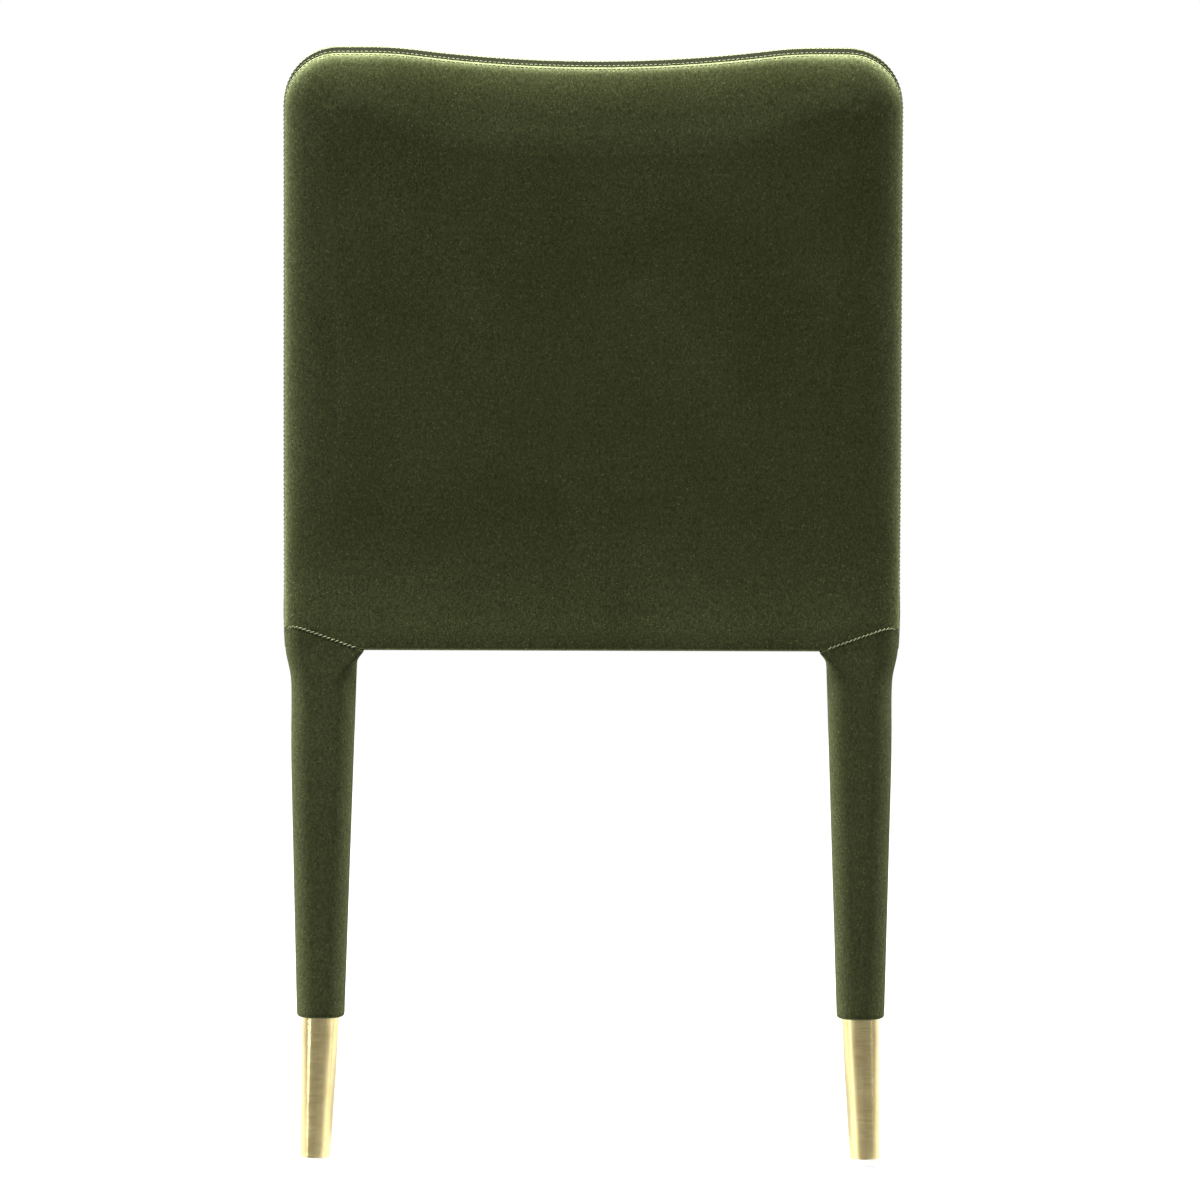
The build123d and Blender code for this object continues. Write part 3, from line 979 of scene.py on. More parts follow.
def patch(
    bottom: list[Point], right: list[Point], top: list[Point], left: list[Point]
) -> list[list[Point]]:
    """Fills a four-sided outline with a grid.

    Args:
        bottom: points from left to right.
        right: points from bottom to top.
        top: points from left to right.
        left: points from bottom to top.

    Returns:
        Rows of points from bottom to top.
    """
    rows = []
    for v, start, end in zip(shares(left), left, right):
        row = []
        for u, low, high in zip(shares(top), bottom, top):
            spot = []
            for axis in (0, 1):
                ruled = (1 - v) * low[axis] + v * high[axis]
                ruled += (1 - u) * start[axis] + u * end[axis]
                corners = (1 - v) * ((1 - u) * bottom[0][axis] + u * bottom[-1][axis])
                corners += v * ((1 - u) * top[0][axis] + u * top[-1][axis])
                spot.append(ruled - corners)
            row.append((spot[0], spot[1]))
        rows.append(row)
    return rows


@dataclass
class PaddedPanel:
    """A cover sewn round a pad: flat in the middle, rolled over at the edges into a seam."""

    name: str
    roll_across: float = 40.0
    roll_depth: float = 14.8
    roll_fullness: float = 2.2
    foot_fullness: float = 3.2
    roll_steps: int = 10
    held_rows: int = 3
    stitch_from_seam: float = 2.6
    stuffing: Stuffing = field(default_factory=Stuffing)
    fill: float = 0.8

    def outline(self, inset: float, foot_inset: float, depth: float) -> Flat:
        """Draws the panel's outline, taken in by inset, at a depth below the panel's face."""
        raise NotImplementedError

    def spot(self, across: float, along: float, depth: float) -> Vector:
        """Places a point of the panel at a depth below the panel's face."""
        raise NotImplementedError

    def low_edge(self, across: float) -> float:
        """Gives how far along the panel its foot is, on the face."""
        raise NotImplementedError

    def out(self, across: float, along: float) -> Vector:
        """Turns an outline's outward direction into space."""
        raise NotImplementedError

    def facing(self) -> Vector:
        """Gives the direction that the panel faces."""
        raise NotImplementedError

    def corner(self) -> int:
        """Gives the place in the outline of the middle of its first corner."""
        raise NotImplementedError

    def foot_turn(self, across: float) -> tuple[Vector, float, float]:
        """Gives the direction, radius and depth of the turn at the panel's foot."""
        raise NotImplementedError

    def roll(self, turn: float) -> tuple[float, float, float]:
        """Gives a place on the rolled edge.

        Args:
            turn: angle from 0 at the seam to a quarter turn at the face.

        Returns:
            The inset, the inset at the panel's foot, where the edge is fuller, and the depth.
        """
        power = 2 / self.roll_fullness
        across, risen = max(0.0, math.cos(turn)) ** power, math.sin(turn) ** power
        foot = (1 - risen**self.foot_fullness) ** (1 / self.foot_fullness)
        inset, foot_inset = self.roll_across * (1 - across), self.roll_across * (1 - foot)
        return inset, foot_inset, self.roll_depth * (1 - risen)

    def edge_row(self, turn: float) -> tuple[Row, Row, Row]:
        """Makes one row of the rolled edge.

        Args:
            turn: place on the roll, as an angle.

        Returns:
            The row, its outward directions and the outline's own outward directions.
        """
        inset, foot_inset, depth = self.roll(turn)
        line = self.outline(inset, foot_inset, depth)
        row = [self.spot(across, along, depth) for across, along, _, _ in line]
        sideways = [self.out(*out) for _, _, *out in line]
        power = 2 - 2 / self.roll_fullness
        steep = self.roll_depth * max(0.0, math.cos(turn)) ** power
        flat = self.roll_across * math.sin(turn) ** power
        normal = [(side * steep + self.facing() * flat).normalized() for side in sideways]
        return row, normal, sideways

    def build(self, finish: Finish) -> Piece:
        """Makes, stuffs and dresses the panel.

        Args:
            finish: the velvet.

        Returns:
            The panel.
        """
        skin = Skin()
        turns = [math.pi / 2 * step / self.roll_steps for step in range(self.roll_steps + 1)]
        rolled = [self.edge_row(turn) for turn in turns]
        ring = [skin.row(row) for row, _, _ in rolled]
        skin.weave(ring)
        seam, _, sideways = rolled[0]
        inward = [-side for side in sideways]
        into_seam = [-self.facing()] * len(seam)
        turned = skin.extend(ring[0], tuck(seam, into_seam, inward))

        face = self.outline(*self.roll(math.pi / 2))
        flat = [(across, along) for across, along, _, _ in face]
        first, last = self.corner(), len(flat) - 1 - self.corner()
        top = flat[first : last + 1]
        span = flat[0][0] / top[0][0]
        bottom = [(across * span, self.low_edge(across * span)) for across, _ in top]
        bottom[0], bottom[-1] = flat[0], flat[-1]
        grid = patch(bottom, flat[last:][::-1], top, flat[: first + 1])
        inner = ring[-1]
        rows = []
        for up, points in enumerate(grid):
            if up == len(grid) - 1:
                rows.append(inner[first : last + 1])
                continue
            middle = skin.row([self.spot(across, along, 0.0) for across, along in points[1:-1]])
            rows.append([inner[up]] + middle + [inner[len(inner) - 1 - up]])
        skin.weave(rows)

        foot = [row[0] for row in ring[:-1]] + rows[0] + [row[-1] for row in reversed(ring[:-1])]
        foot_out = [normal[0] for _, normal, _ in rolled[:-1]] + [self.facing()] * len(rows[0])
        foot_out += [normal[-1] for _, normal, _ in reversed(rolled[:-1])]
        edge = [skin.points[place] for place in foot]
        hem: list[Row] = [[] for _ in range(TUCK_ROWS)]
        for point, normal in zip(edge, foot_out):
            onward, radius, deep = self.foot_turn(point.x)
            tucked = tuck([point], [onward], [-normal], radius, deep)
            for row, turned_points in zip(hem, tucked):
                row.append(turned_points[0])
        skin.extend(foot, hem)

        piece = skin.piece(self.name, self.facing())
        # The seam, the rows beside it and the hem stay where they are sewn.
        held = {place for row in ring[: self.held_rows] + turned for place in row} | set(foot)
        held |= set(range(len(skin.points) - TUCK_ROWS * len(foot), len(skin.points)))
        self.stuffing.fill(piece, sorted(held), self.facing())
        dress(piece, finish)
        return piece

    def sew_edge(self, stitches: Topstitch) -> None:
        """Sews a row of stitches on the rolled edge, beside the seam.

        Args:
            stitches: the stitching that gets the row.
        """
        risen = (self.stitch_from_seam / self.roll_depth) ** (self.roll_fullness / 2)
        row, normal, _ = self.edge_row(math.asin(risen))
        stitches.sew(row, normal)


@dataclass
class BackPanel(PaddedPanel):
    """One face of the back.

    The outside is sewn to the leg sleeves below, the inside is tucked behind the seat.
    """

    shape: BackShape = field(default_factory=BackShape)
    side: PanelSide = PanelSide.OUTSIDE
    tucked_height: float = 462.0
    hem_radius: float = 3.0
    hem_turn: float = 15.0

    def _depth(self, depth: float) -> float:
        """Measures a depth below the panel's face from the outside back instead."""
        return depth if self.side is PanelSide.OUTSIDE else self.shape.thickness - depth

    def _foot(self, across: float, depth: float) -> float:
        """Finds the panel's foot.

        Args:
            across: distance from the middle line.
            depth: depth below the panel's face.

        Returns:
            Height of the foot there.
        """
        if self.side is PanelSide.INSIDE:
            return self.tucked_height
        seam = REAR_SEAM.height(across, self.shape.rear_face - depth)
        level = seam <= REAR_SEAM.rail_underside + LEVEL_MM
        return seam + (self.hem_radius if level else SEAM_TURN)

    def outline(self, inset: float, foot_inset: float, depth: float) -> Flat:
        """Draws the panel's outline, taken in by inset, at a depth below the panel's face."""
        foot = self._foot(self.shape.half_width - foot_inset, depth)
        return self.shape.outline(self.shape.along(foot, self._depth(depth)), inset, foot_inset)

    def spot(self, across: float, along: float, depth: float) -> Vector:
        """Places a point of the panel at a depth below the panel's face."""
        return self.shape.point(across, along, self._depth(depth))

    def low_edge(self, across: float) -> float:
        """Gives how far along the panel its foot is, on the face."""
        return self.shape.along(self._foot(across, 0.0), self._depth(0.0))

    def out(self, across: float, along: float) -> Vector:
        """Turns an outline's outward direction into space."""
        return Vector((across, 0, 0)) + self.shape.up() * along

    def facing(self) -> Vector:
        """Gives the direction that the panel faces."""
        return self.shape.square() * (1 if self.side is PanelSide.OUTSIDE else -1)

    def corner(self) -> int:
        """Gives the place in the outline of the middle of its first corner."""
        return self.shape.outline_corner()

    def foot_turn(self, across: float) -> tuple[Vector, float, float]:
        """Finds the turn at the panel's foot, into a slanted seam or under the rail.

        Args:
            across: distance from the middle line.

        Returns:
            The turn's direction, radius and depth.
        """
        slanted = abs(across) > REAR_SEAM.corner_across - REAR_SEAM.reach_across
        if slanted and self.side is PanelSide.OUTSIDE:
            slope = Vector((math.copysign(REAR_SEAM.rise, across), 0, -REAR_SEAM.reach_across))
            return slope.normalized(), SEAM_TURN, SEAM_DEEP
        return DOWN, self.hem_radius, self.hem_turn


@dataclass
class SeatShape:
    """Plan of the seat: wider in front, with rounded front corners."""

    front: float = -280.5
    rear: float = BackShape.rear_face
    front_half: float = 253.5
    rear_half: float = BackShape.half_width
    corner_radius: float = 20.0
    top: float = 492.0
    seam: float = 468.0
    side_steps: int = 46
    corner_steps: int = 8
    front_steps: int = 52

    def half(self, place: float) -> float:
        """Gives half the seat's width at a place along Y."""
        length = self.rear - self.front
        return self.front_half + (self.rear_half - self.front_half) * (place - self.front) / length

    def outline(self, rear_end: float, inset: float) -> Flat:
        """Draws the outline round the front, from the left side's rear end to the right side's.

        Args:
            rear_end: place along Y where the sides end.
            inset: distance that the outline is taken in.

        Returns:
            Points across and forward, each with its outward direction.
        """
        slope = (self.front_half - self.rear_half) / (self.rear - self.front)
        sideways = Vector((1.0, slope, 0)).normalized()
        radius = self.corner_radius - inset
        middle = Vector((0, -self.front - self.corner_radius, 0))
        middle.x = self.half(-middle.y) - self.corner_radius / sideways.x
        start = middle + sideways * radius
        left: Flat = []
        for step in range(self.side_steps):
            place = rear_end + (-start.y - rear_end) * step / self.side_steps
            left.append((self.half(place) - inset / sideways.x, -place, sideways.x, sideways.y))
        lean = math.atan2(sideways.y, sideways.x)
        for step in range(self.corner_steps + 1):
            angle = lean + (math.pi / 2 - lean) * step / self.corner_steps
            out = (math.cos(angle), math.sin(angle))
            left.append((middle.x + radius * out[0], middle.y + radius * out[1], *out))
        for step in range(1, self.front_steps // 2 + 1):
            across = middle.x * (1 - 2 * step / self.front_steps)
            left.append((across, middle.y + radius, 0.0, 1.0))
        return left + mirrored(left)


FRONT_SEAM = LegSeam(
    SeatShape.front_half, SeatShape.front, reach_across=60.6, reach_place=52.0
)


@dataclass
class SeatTop(PaddedPanel):
    """The seat's top cover, crowned by its foam and rolled over in front and at the sides."""

    shape: SeatShape = field(default_factory=SeatShape)
    rear_end: float = 158.0
    crown: float = 2.0
    dome_reach: float = 260.0
    dome_middle: float = 60.0
    dome_rest: float = 0.5
    hem_radius: float = 7.0
    hem_turn: float = 18.0

    def outline(self, inset: float, foot_inset: float, depth: float) -> Flat:
        """Draws the panel's outline, taken in by inset, at a depth below the panel's face."""
        return self.shape.outline(self.rear_end, inset)

    def spot(self, across: float, along: float, depth: float) -> Vector:
        """Places a point of the seat's top.

        Args:
            across: distance from the middle line.
            along: distance forward.
            depth: depth below the panel's face.

        Returns:
            The point, raised by the foam's crown.
        """
        dome = math.cos(across / self.dome_reach * math.pi / 2)
        dome *= math.cos((along - self.dome_middle) / self.dome_reach * math.pi / 2)
        height = self.shape.top - depth + self.crown * (dome - self.dome_rest)
        return Vector((across, -along, height))

    def low_edge(self, across: float) -> float:
        """Gives how far along the panel its foot is, on the face."""
        return -self.rear_end

    def out(self, across: float, along: float) -> Vector:
        """Turns an outline's outward direction into space."""
        return Vector((across, -along, 0))

    def facing(self) -> Vector:
        """Gives the direction that the panel faces."""
        return UP

    def corner(self) -> int:
        """Gives the place in the outline of the middle of its first corner."""
        return self.shape.side_steps + self.shape.corner_steps // 2

    def foot_turn(self, across: float) -> tuple[Vector, float, float]:
        """Gives the direction, radius and depth of the turn at the panel's foot."""
        return REARWARD, self.hem_radius, self.hem_turn


@dataclass
class Band:
    """A strip of velvet between two seams, slightly crowned across its width."""

    name: str
    rows: int = 6
    crown: float = 0.5
    stitch_from_seam: float = 2.4

    def line(self, share: float) -> tuple[Row, Row, Row]:
        """Gives the points, outward directions and directions across at a share of the width."""
        raise NotImplementedError

    def width(self) -> float:
        """Gives the band's width."""
        raise NotImplementedError

    def run_out(self) -> Vector:
        """Gives the direction in which both ends of the band run out."""
        raise NotImplementedError

    def turned_line(self, share: float) -> tuple[Row, Row, Row]:
        """Gives a row as line does, with its ends turned into the seams that they meet.

        Args:
            share: share of the band's width.

        Returns:
            The row's points, outward directions and directions across the band.
        """
        points, outs, onward = self.line(share)
        ends = []
        for place in (0, -1):
            rows = tuck([points[place]], [self.run_out()], [-outs[place]])
            ends.append([row[0] for row in rows])
        points = ends[0][::-1] + points + ends[1]
        outs = [outs[0]] * len(ends[0]) + outs + [outs[-1]] * len(ends[1])
        return points, outs, [onward[0]] * len(points)

    def crowned(self, share: float, points: Row, outs: Row) -> Row:
        """Lifts a row at a share of the width to the band's crown."""
        swell = self.crown * (1 - (2 * share - 1) ** 2)
        return [point + out * swell for point, out in zip(points, outs)]

    def build(self, finish: Finish) -> Piece:
        """Makes and dresses the band.

        Args:
            finish: the velvet.

        Returns:
            The band.
        """
        skin = Skin()
        lines = []
        for step in range(self.rows + 1):
            points, outs, _ = self.turned_line(step / self.rows)
            lines.append(skin.row(self.crowned(step / self.rows, points, outs)))
        skin.weave(lines)
        for place, sign in ((0, -1), (self.rows, 1)):
            points, outs, onward = self.turned_line(place / self.rows)
            onward, inward = [on * sign for on in onward], [-out for out in outs]
            skin.extend(lines[place], tuck(points, onward, inward))
        piece = skin.piece(self.name)
        dress(piece, finish)
        return piece

    def sew_edges(self, stitches: Topstitch, shares_across: Sequence[float]) -> None:
        """Sews rows of stitches along the band.

        Args:
            stitches: the stitching that gets the rows.
            shares_across: share of the band's width for each row.
        """
        for share in shares_across:
            points, outs, _ = self.line(share)
            stitches.sew(self.crowned(share, points, outs), outs)


@dataclass
class BackBorder(Band):
    """The band over the crest and down both sides of the back."""

    shape: BackShape = field(default_factory=BackShape)

    def width(self) -> float:
        """Gives the band's width."""
        return self.shape.front_seam - self.shape.rear_seam - 2 * SEAM_TURN

    def line(self, share: float) -> tuple[Row, Row, Row]:
        """Draws a row along the band.

        Args:
            share: share of the band's width.

        Returns:
            The row's points, outward directions and directions across the band.
        """
        depth = self.shape.rear_seam + SEAM_TURN + self.width() * share
        foot = REAR_SEAM.height(self.shape.half_width, self.shape.rear_face - depth)
        foot += SEAM_TURN
        line = self.shape.outline(self.shape.along(foot, depth), 0.0, 0.0)
        points = [self.shape.point(across, along, depth) for across, along, _, _ in line]
        outs = [Vector((out_x, 0, 0)) + self.shape.up() * out_v for _, _, out_x, out_v in line]
        return points, outs, [-self.shape.square()] * len(points)

    def run_out(self) -> Vector:
        """Gives the direction in which both ends of the band run out."""
        return DOWN


@dataclass
class SeatBorder(Band):
    """The band round the seat's front and sides, from the top seam to the rail's underside."""

    shape: SeatShape = field(default_factory=SeatShape)
    rear_end: float = 167.6
    lap: float = 0.8
    rows: int = 10
    crown: float = 1.0

    def width(self) -> float:
        """Gives the band's width."""
        return self.shape.seam - FRONT_SEAM.rail_underside - 2 * SEAM_TURN

    def line(self, share: float) -> tuple[Row, Row, Row]:
        """Draws a row along the band.

        Args:
            share: share of the band's width.

        Returns:
            The row's points, outward directions and directions across the band.
        """
        points, outs = [], []
        for across, along, out_across, out_along in self.shape.outline(self.rear_end, 0.0):
            foot = FRONT_SEAM.height(across, -along) + SEAM_TURN - self.lap
            top = self.shape.seam - SEAM_TURN
            points.append(Vector((across, -along, between(top, foot, share))))
            outs.append(Vector((out_across, -out_along, 0)))
        return points, outs, [DOWN] * len(points)

    def run_out(self) -> Vector:
        """Gives the direction in which both ends of the band run out."""
        return REARWARD


# Four flats and four corners go round a leg.
STRETCHES = 8


def round_corner(corner: Corner, number: int, share: float) -> Point:
    """Finds a point on a rounded corner of a leg's section.

    Args:
        corner: the sharp corner, across and along Y, and how far the turn reaches from it each way.
        number: the corner's number round the leg; odd ones are turned the other way.
        share: share of the turn.

    Returns:
        The point, across and along Y.
    """
    across, place, wide, deep = corner
    bend = math.pi / 2 * share
    first, second = math.cos(bend), math.sin(bend)
    if number % 2:
        first, second = second, first
    return across + wide * (1 - first), place + deep * (1 - second)


@dataclass
class LegSleeve:
    """Velvet drawn over a tapered leg, from its slanted top seam to its hem at the ferrule.

    near is the leg's face with the top seam's high end, far the opposite face, both along Y. A
    squaring is the share of a corner's radius that is gone at the rail, and how far below the rail
    it starts to go.
    """

    name: str
    side: int
    inner: float
    outer: float
    near: float
    far: float
    hem_across: float
    hem_place: float
    seam: LegSeam
    corner_at_seam: Span = (18.0, 18.0)
    corner: float = 18.0
    half_hem: float = 19.0
    hem_height: float = 117.0
    hem_radius: float = 2.6
    hem_deep: float = 0.6
    collar_lifts: Span = (0.4, 7.0)
    ferrule_radius: float = 14.6
    flare: float = 6.0
    flare_start: float = 397.0
    joint_reach: Span = (25.0, 2.0)
    knee_tuck: float = 1.4
    knee_height: float = 378.0
    knee_reach: float = 34.0
    near_squaring: Span = (0.9, 26.0)
    far_squaring: Span = (0.35, 20.0)
    rows: int = 60
    flat_steps: int = 9
    corner_steps: int = 7
    settle_rounds: int = 3
    sewn_stretches: tuple[int, ...] = (2, 3, 4)
    sewn_rise: float = 0.5
    stitch_lift: float = 0.1
    stitch_slant: float = 0.55

    def way(self) -> float:
        """Gives the sign of the direction along Y from the far face to the near one."""
        return math.copysign(1.0, self.near - self.far)

    def columns(self) -> list[Column]:
        """Lists the columns round the leg.

        Returns:
            For each a stretch from 0 to 7, flats and corners by turns, and a share of it.
        """
        places = []
        for stretch in range(STRETCHES):
            steps = self.corner_steps if stretch % 2 else self.flat_steps
            places += [(stretch, step / steps) for step in range(steps)]
        return places

    def section(self, height: float) -> list[Corner]:
        """Finds the four corners of the leg's section.

        Args:
            height: height of the section.

        Returns:
            Each corner with the signed reach of its turn, from inner near to inner far.
        """
        rail, half, way = self.seam.rail_underside, self.half_hem, self.way()
        share = min(1.0, (height - self.hem_height) / (rail - self.hem_height))
        joined = smooth_step(rail - self.joint_reach[0], rail + self.joint_reach[1], height)
        inner = between(self.hem_across - half, self.inner, share)
        inner -= self.flare * smooth_step(self.flare_start, rail, height) ** 2
        outer = between(self.hem_across + half, self.outer, share)
        outer += (self.seam.corner_across - self.outer) * joined
        outer -= self.knee_tuck * math.exp(-(((height - self.knee_height) / self.knee_reach) ** 2))
        near = between(self.hem_place + way * half, self.near, share)
        far = between(self.hem_place - way * half, self.far, share)
        # Toward the rail every corner but the outer near one grows sharper, to fill the seam.
        near_round, far_round = (
            self.corner * (1 - squared * smooth_step(rail - reach, rail, height))
            for squared, reach in (self.near_squaring, self.far_squaring)
        )
        wide, deep = (between(self.corner, radius, joined) for radius in self.corner_at_seam)
        return [
            (inner, near, near_round, -way * near_round),
            (outer, near, -wide, -way * deep),
            (outer, far, -far_round, way * far_round),
            (inner, far, far_round, way * far_round),
        ]

    def spot(self, column: Column, height: float) -> Vector:
        """Finds a point of the sleeve.

        Args:
            column: stretch round the leg and share of it.
            height: height of the point.

        Returns:
            The point, on the leg's own side of the chair.
        """
        stretch, share = column
        number = stretch // 2
        corners = self.section(height)
        if stretch % 2:
            across, place = round_corner(corners[number], number, share)
        else:
            start = round_corner(corners[number - 1], number - 1, 1.0)
            end = round_corner(corners[number], number, 0.0)
            across, place = (between(low, high, share) for low, high in zip(start, end))
        return Vector((self.side * across, place, height))

    def top_heights(self) -> list[float]:
        """Finds where each column meets the top seam.

        Returns:
            The height of the sleeve's top edge on each column.
        """
        heights = []
        for column in self.columns():
            guess = self.seam.rail_underside + self.seam.rise
            for _ in range(self.settle_rounds):
                place = self.spot(column, guess)
                guess = self.seam.height(place.x, place.y)
            heights.append(guess - SEAM_TURN)
        return heights

    def outward(self, column: Column) -> Vector:
        """Finds the level direction out of the sleeve.

        Args:
            column: stretch round the leg and share of it.

        Returns:
            The direction.
        """
        stretch, share = column
        turn = math.pi / 2 * (stretch // 2 + (share if stretch % 2 else 0.0))
        return Vector((-self.side * math.cos(turn), self.way() * math.sin(turn), 0))

    def build(self, finish: Finish) -> Piece:
        """Makes and dresses the sleeve.

        Args:
            finish: the velvet.

        Returns:
            The sleeve.
        """
        skin = Skin()
        columns, tops = self.columns(), self.top_heights()
        start = self.hem_height + self.hem_radius
        rows = []
        for step in range(self.rows + 1):
            heights = [between(start, top, step / self.rows) for top in tops]
            rows.append(skin.row(map(self.spot, columns, heights)))
        skin.weave(rows, closed=True)
        inward = [-self.outward(column) for column in columns]
        top = [skin.points[place] for place in rows[-1]]
        skin.extend(rows[-1], tuck(top, [UP] * len(columns), inward), closed=True)
        hem = [skin.points[place] for place in rows[0]]
        under = tuck(hem, [DOWN] * len(columns), inward, self.hem_radius, self.hem_deep)
        middle = Vector((self.side * self.hem_across, self.hem_place, self.hem_height))
        spokes = [(point - middle).to_2d().normalized().to_3d() for point in under[-1]]
        for lift in self.collar_lifts:
            at = middle + UP * lift
            under.append([at + spoke * self.ferrule_radius for spoke in spokes])
        skin.extend(rows[0], under, closed=True)
        piece = skin.piece(self.name)
        dress(piece, finish)
        return piece

    def sew_top(self, stitches: Topstitch) -> None:
        """Sews the hand stitches along the slanted part of the top seam.

        Args:
            stitches: the stitching that gets the row.
        """
        line, outs = [], []
        for column, top in zip(self.columns(), self.top_heights()):
            slanted = top > self.seam.rail_underside + self.sewn_rise
            if slanted and column[0] in self.sewn_stretches:
                outs.append(self.outward(column))
                on_seam = self.spot(column, top) + UP * SEAM_TURN
                line.append(on_seam + outs[-1] * self.stitch_lift)
        stitches.sew(line, outs, slant=self.stitch_slant)


LEGS: dict[str, dict[str, Any]] = {
    "rear": {
        "inner": 187.0,
        "outer": 241.5,
        "near": BackShape.rear_face,
        "far": 153.0,
        "hem_across": 215.1,
        "hem_place": 211.0,
        "seam": REAR_SEAM,
        "corner_at_seam": (16.0, 16.0),
    },
    "front": {
        "inner": 199.9,
        "outer": 251.9,
        "near": SeatShape.front,
        "far": -228.5,
        "hem_across": 230.4,
        "hem_place": -260.5,
        "seam": FRONT_SEAM,
    },
}


@dataclass
class DustCover:
    """Black cloth under the seat, cut round the legs and sagging a little between the rails."""

    name: str = "dust_cloth"
    margin: float = 10.0
    height: float = 408.7
    sag: float = 3.0
    rear: float = 196.0
    leg_inner: Span = (184.0, 197.0)
    leg_ends: Span = (150.0, -226.0)
    cell: float = 12.0
    sag_reach: float = 250.0
    slack: float = 0.1
    shape: SeatShape = field(default_factory=SeatShape)

    def stops(self, marks: Sequence[float]) -> list[float]:
        """Divides the spans between marks into cells.

        Args:
            marks: places that must be grid lines, in order.

        Returns:
            All the grid lines.
        """
        lines = [marks[0]]
        for low, high in zip(marks, marks[1:]):
            count = max(1, round(abs(high - low) / self.cell))
            lines += [low + (high - low) * step / count for step in range(1, count + 1)]
        return lines

    def build(self, finish: Finish) -> Piece:
        """Makes and dresses the dust cover.

        Args:
            finish: the cloth.

        Returns:
            The dust cover.
        """
        front = self.shape.front + self.margin
        places = self.stops([front, self.leg_ends[1], self.leg_ends[0], self.rear])
        inner = sum(self.leg_inner) / 2
        shares = self.stops([-self.shape.front_half, -inner, inner, self.shape.front_half])
        skin = Skin()
        rows = []
        for place in places:
            stretch = (self.shape.half(place) - self.margin) / self.shape.front_half
            row = []
            for share in shares:
                across = share * stretch if abs(share) > inner else share
                across_room = math.cos(math.pi / 2 * across / self.sag_reach)
                along_room = math.sin(math.pi * (place - front) / (self.rear - front))
                sunk = self.sag * across_room * along_room
                row.append(Vector((across, place, self.height - sunk)))
            rows.append(skin.row(row))
        for near, place, far, beyond in zip(rows, places, rows[1:], places[1:]):
            for cell in range(len(shares) - 1):
                by_leg = abs(shares[cell] + shares[cell + 1]) / 2 > inner
                in_front = beyond <= self.leg_ends[1] + self.slack
                if by_leg and (in_front or place >= self.leg_ends[0] - self.slack):
                    continue
                corners = (near[cell], near[cell + 1], far[cell + 1], far[cell])
                skin.faces.append(corners)
        piece = skin.piece(self.name, DOWN)
        dress(piece, finish)
        return piece


@dataclass
class DiningChair:
    """The chair: back, seat, legs and the pieces of the solid model that show as they are."""

    back: BackShape = field(default_factory=BackShape)
    seat: SeatShape = field(default_factory=SeatShape)
    replaced: list[str] = field(default_factory=list)

    def stand_for(self, piece: Piece, *nodes: str) -> None:
        """Lets a piece take the place of solids."""
        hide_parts(*nodes)
        self.replaced += nodes

    def build_back(self, velvet: Finish, band: Finish, thread: Finish) -> None:
        """Builds the back's two panels, its border and their stitching.

        Args:
            velvet: finish of the panels.
            band: finish of the border, a darker copy of the velvet with painted shade.
            thread: finish of the stitches.
        """
        outside = BackPanel("outside_back_panel", shape=self.back)
        inside = BackPanel(
            "inside_back_panel",
            shape=self.back,
            side=PanelSide.INSIDE,
            roll_depth=12.8,
            stuffing=Stuffing(most_mm=6.0),
        )
        border = BackBorder("back_border_band", shape=self.back)
        self.stand_for(outside.build(velvet), "outside_back_cover", "outside_back_pad")
        self.stand_for(inside.build(velvet), "inside_back_cover", "inside_back_foam")
        self.stand_for(border.build(band), "back_border")
        stitches = Topstitch("back_topstitching")
        outside.sew_edge(stitches)
        inside.sew_edge(stitches)
        beside = border.stitch_from_seam / border.width()
        border.sew_edges(stitches, (beside, 1 - beside))
        stitches.finish(thread)

    def build_seat(self, velvet: Finish, band: Finish, thread: Finish) -> None:
        """Builds the seat's top, border and stitching.

        Args:
            velvet: finish of the top, a darker copy of the velvet with painted shade.
            band: finish of the border.
            thread: finish of the stitches.
        """
        top = SeatTop(
            "seat_top_panel",
            shape=self.seat,
            roll_across=17.0,
            roll_depth=22.8,
            stuffing=Stuffing(most_mm=9.0),
        )
        border = SeatBorder("seat_border_band", shape=self.seat)
        self.stand_for(top.build(velvet), "seat_top_cover", "seat_foam")
        self.stand_for(border.build(band), "seat_border")
        stitches = Topstitch("seat_topstitching")
        top.sew_edge(stitches)
        border.sew_edges(stitches, (border.stitch_from_seam / border.width(),))
        stitches.finish(thread)

    def build_legs(self, velvet: Finish, thread: Finish) -> None:
        """Builds the four sleeves and their hand-sewn top seams.

        Args:
            velvet: finish of the sleeves.
            thread: finish of the stitches.
        """
        stitches = Topstitch("sleeve_hand_stitching", stitch=3.2, pitch=3.4, thread=0.8)
        for word, side in (("left", 1), ("right", -1)):
            for end, leg in LEGS.items():
                sleeve = LegSleeve(f"{end}_sleeve_{word}", side, **leg)
                self.stand_for(sleeve.build(velvet), f"sleeve_{end}_{word}")
                sleeve.sew_top(stitches)
        stitches.finish(thread)

    def build_underside(self, cloth: Finish) -> None:
        """Builds the dust cover."""
        self.stand_for(DustCover(shape=self.seat).build(cloth), "dust_cover")

    def finish_solids(self, finishes: dict[Slot, Finish]) -> None:
        """Gives every solid that stays its finish.

        Args:
            finishes: material of each slot.
        """
        parts = frame["record"]["subparts"]
        slots = {part["node"]: Slot(part["material_slot"]) for part in parts}
        for name, node in frame["nodes"].items():
            if name in self.replaced:
                continue
            if not node.material_slots:
                node.data.materials.append(None)
            for place in node.material_slots:
                place.material = finishes[slots[name]]
            log.info("%s: finished as %s", name, slots[name].value)


def looking(place: Spot, aim: Spot) -> Euler:
    """Gives the rotation of a light or lens that looks from a place at a point."""
    return (Vector(aim) - Vector(place)).to_track_quat("-Z", "Y").to_euler()


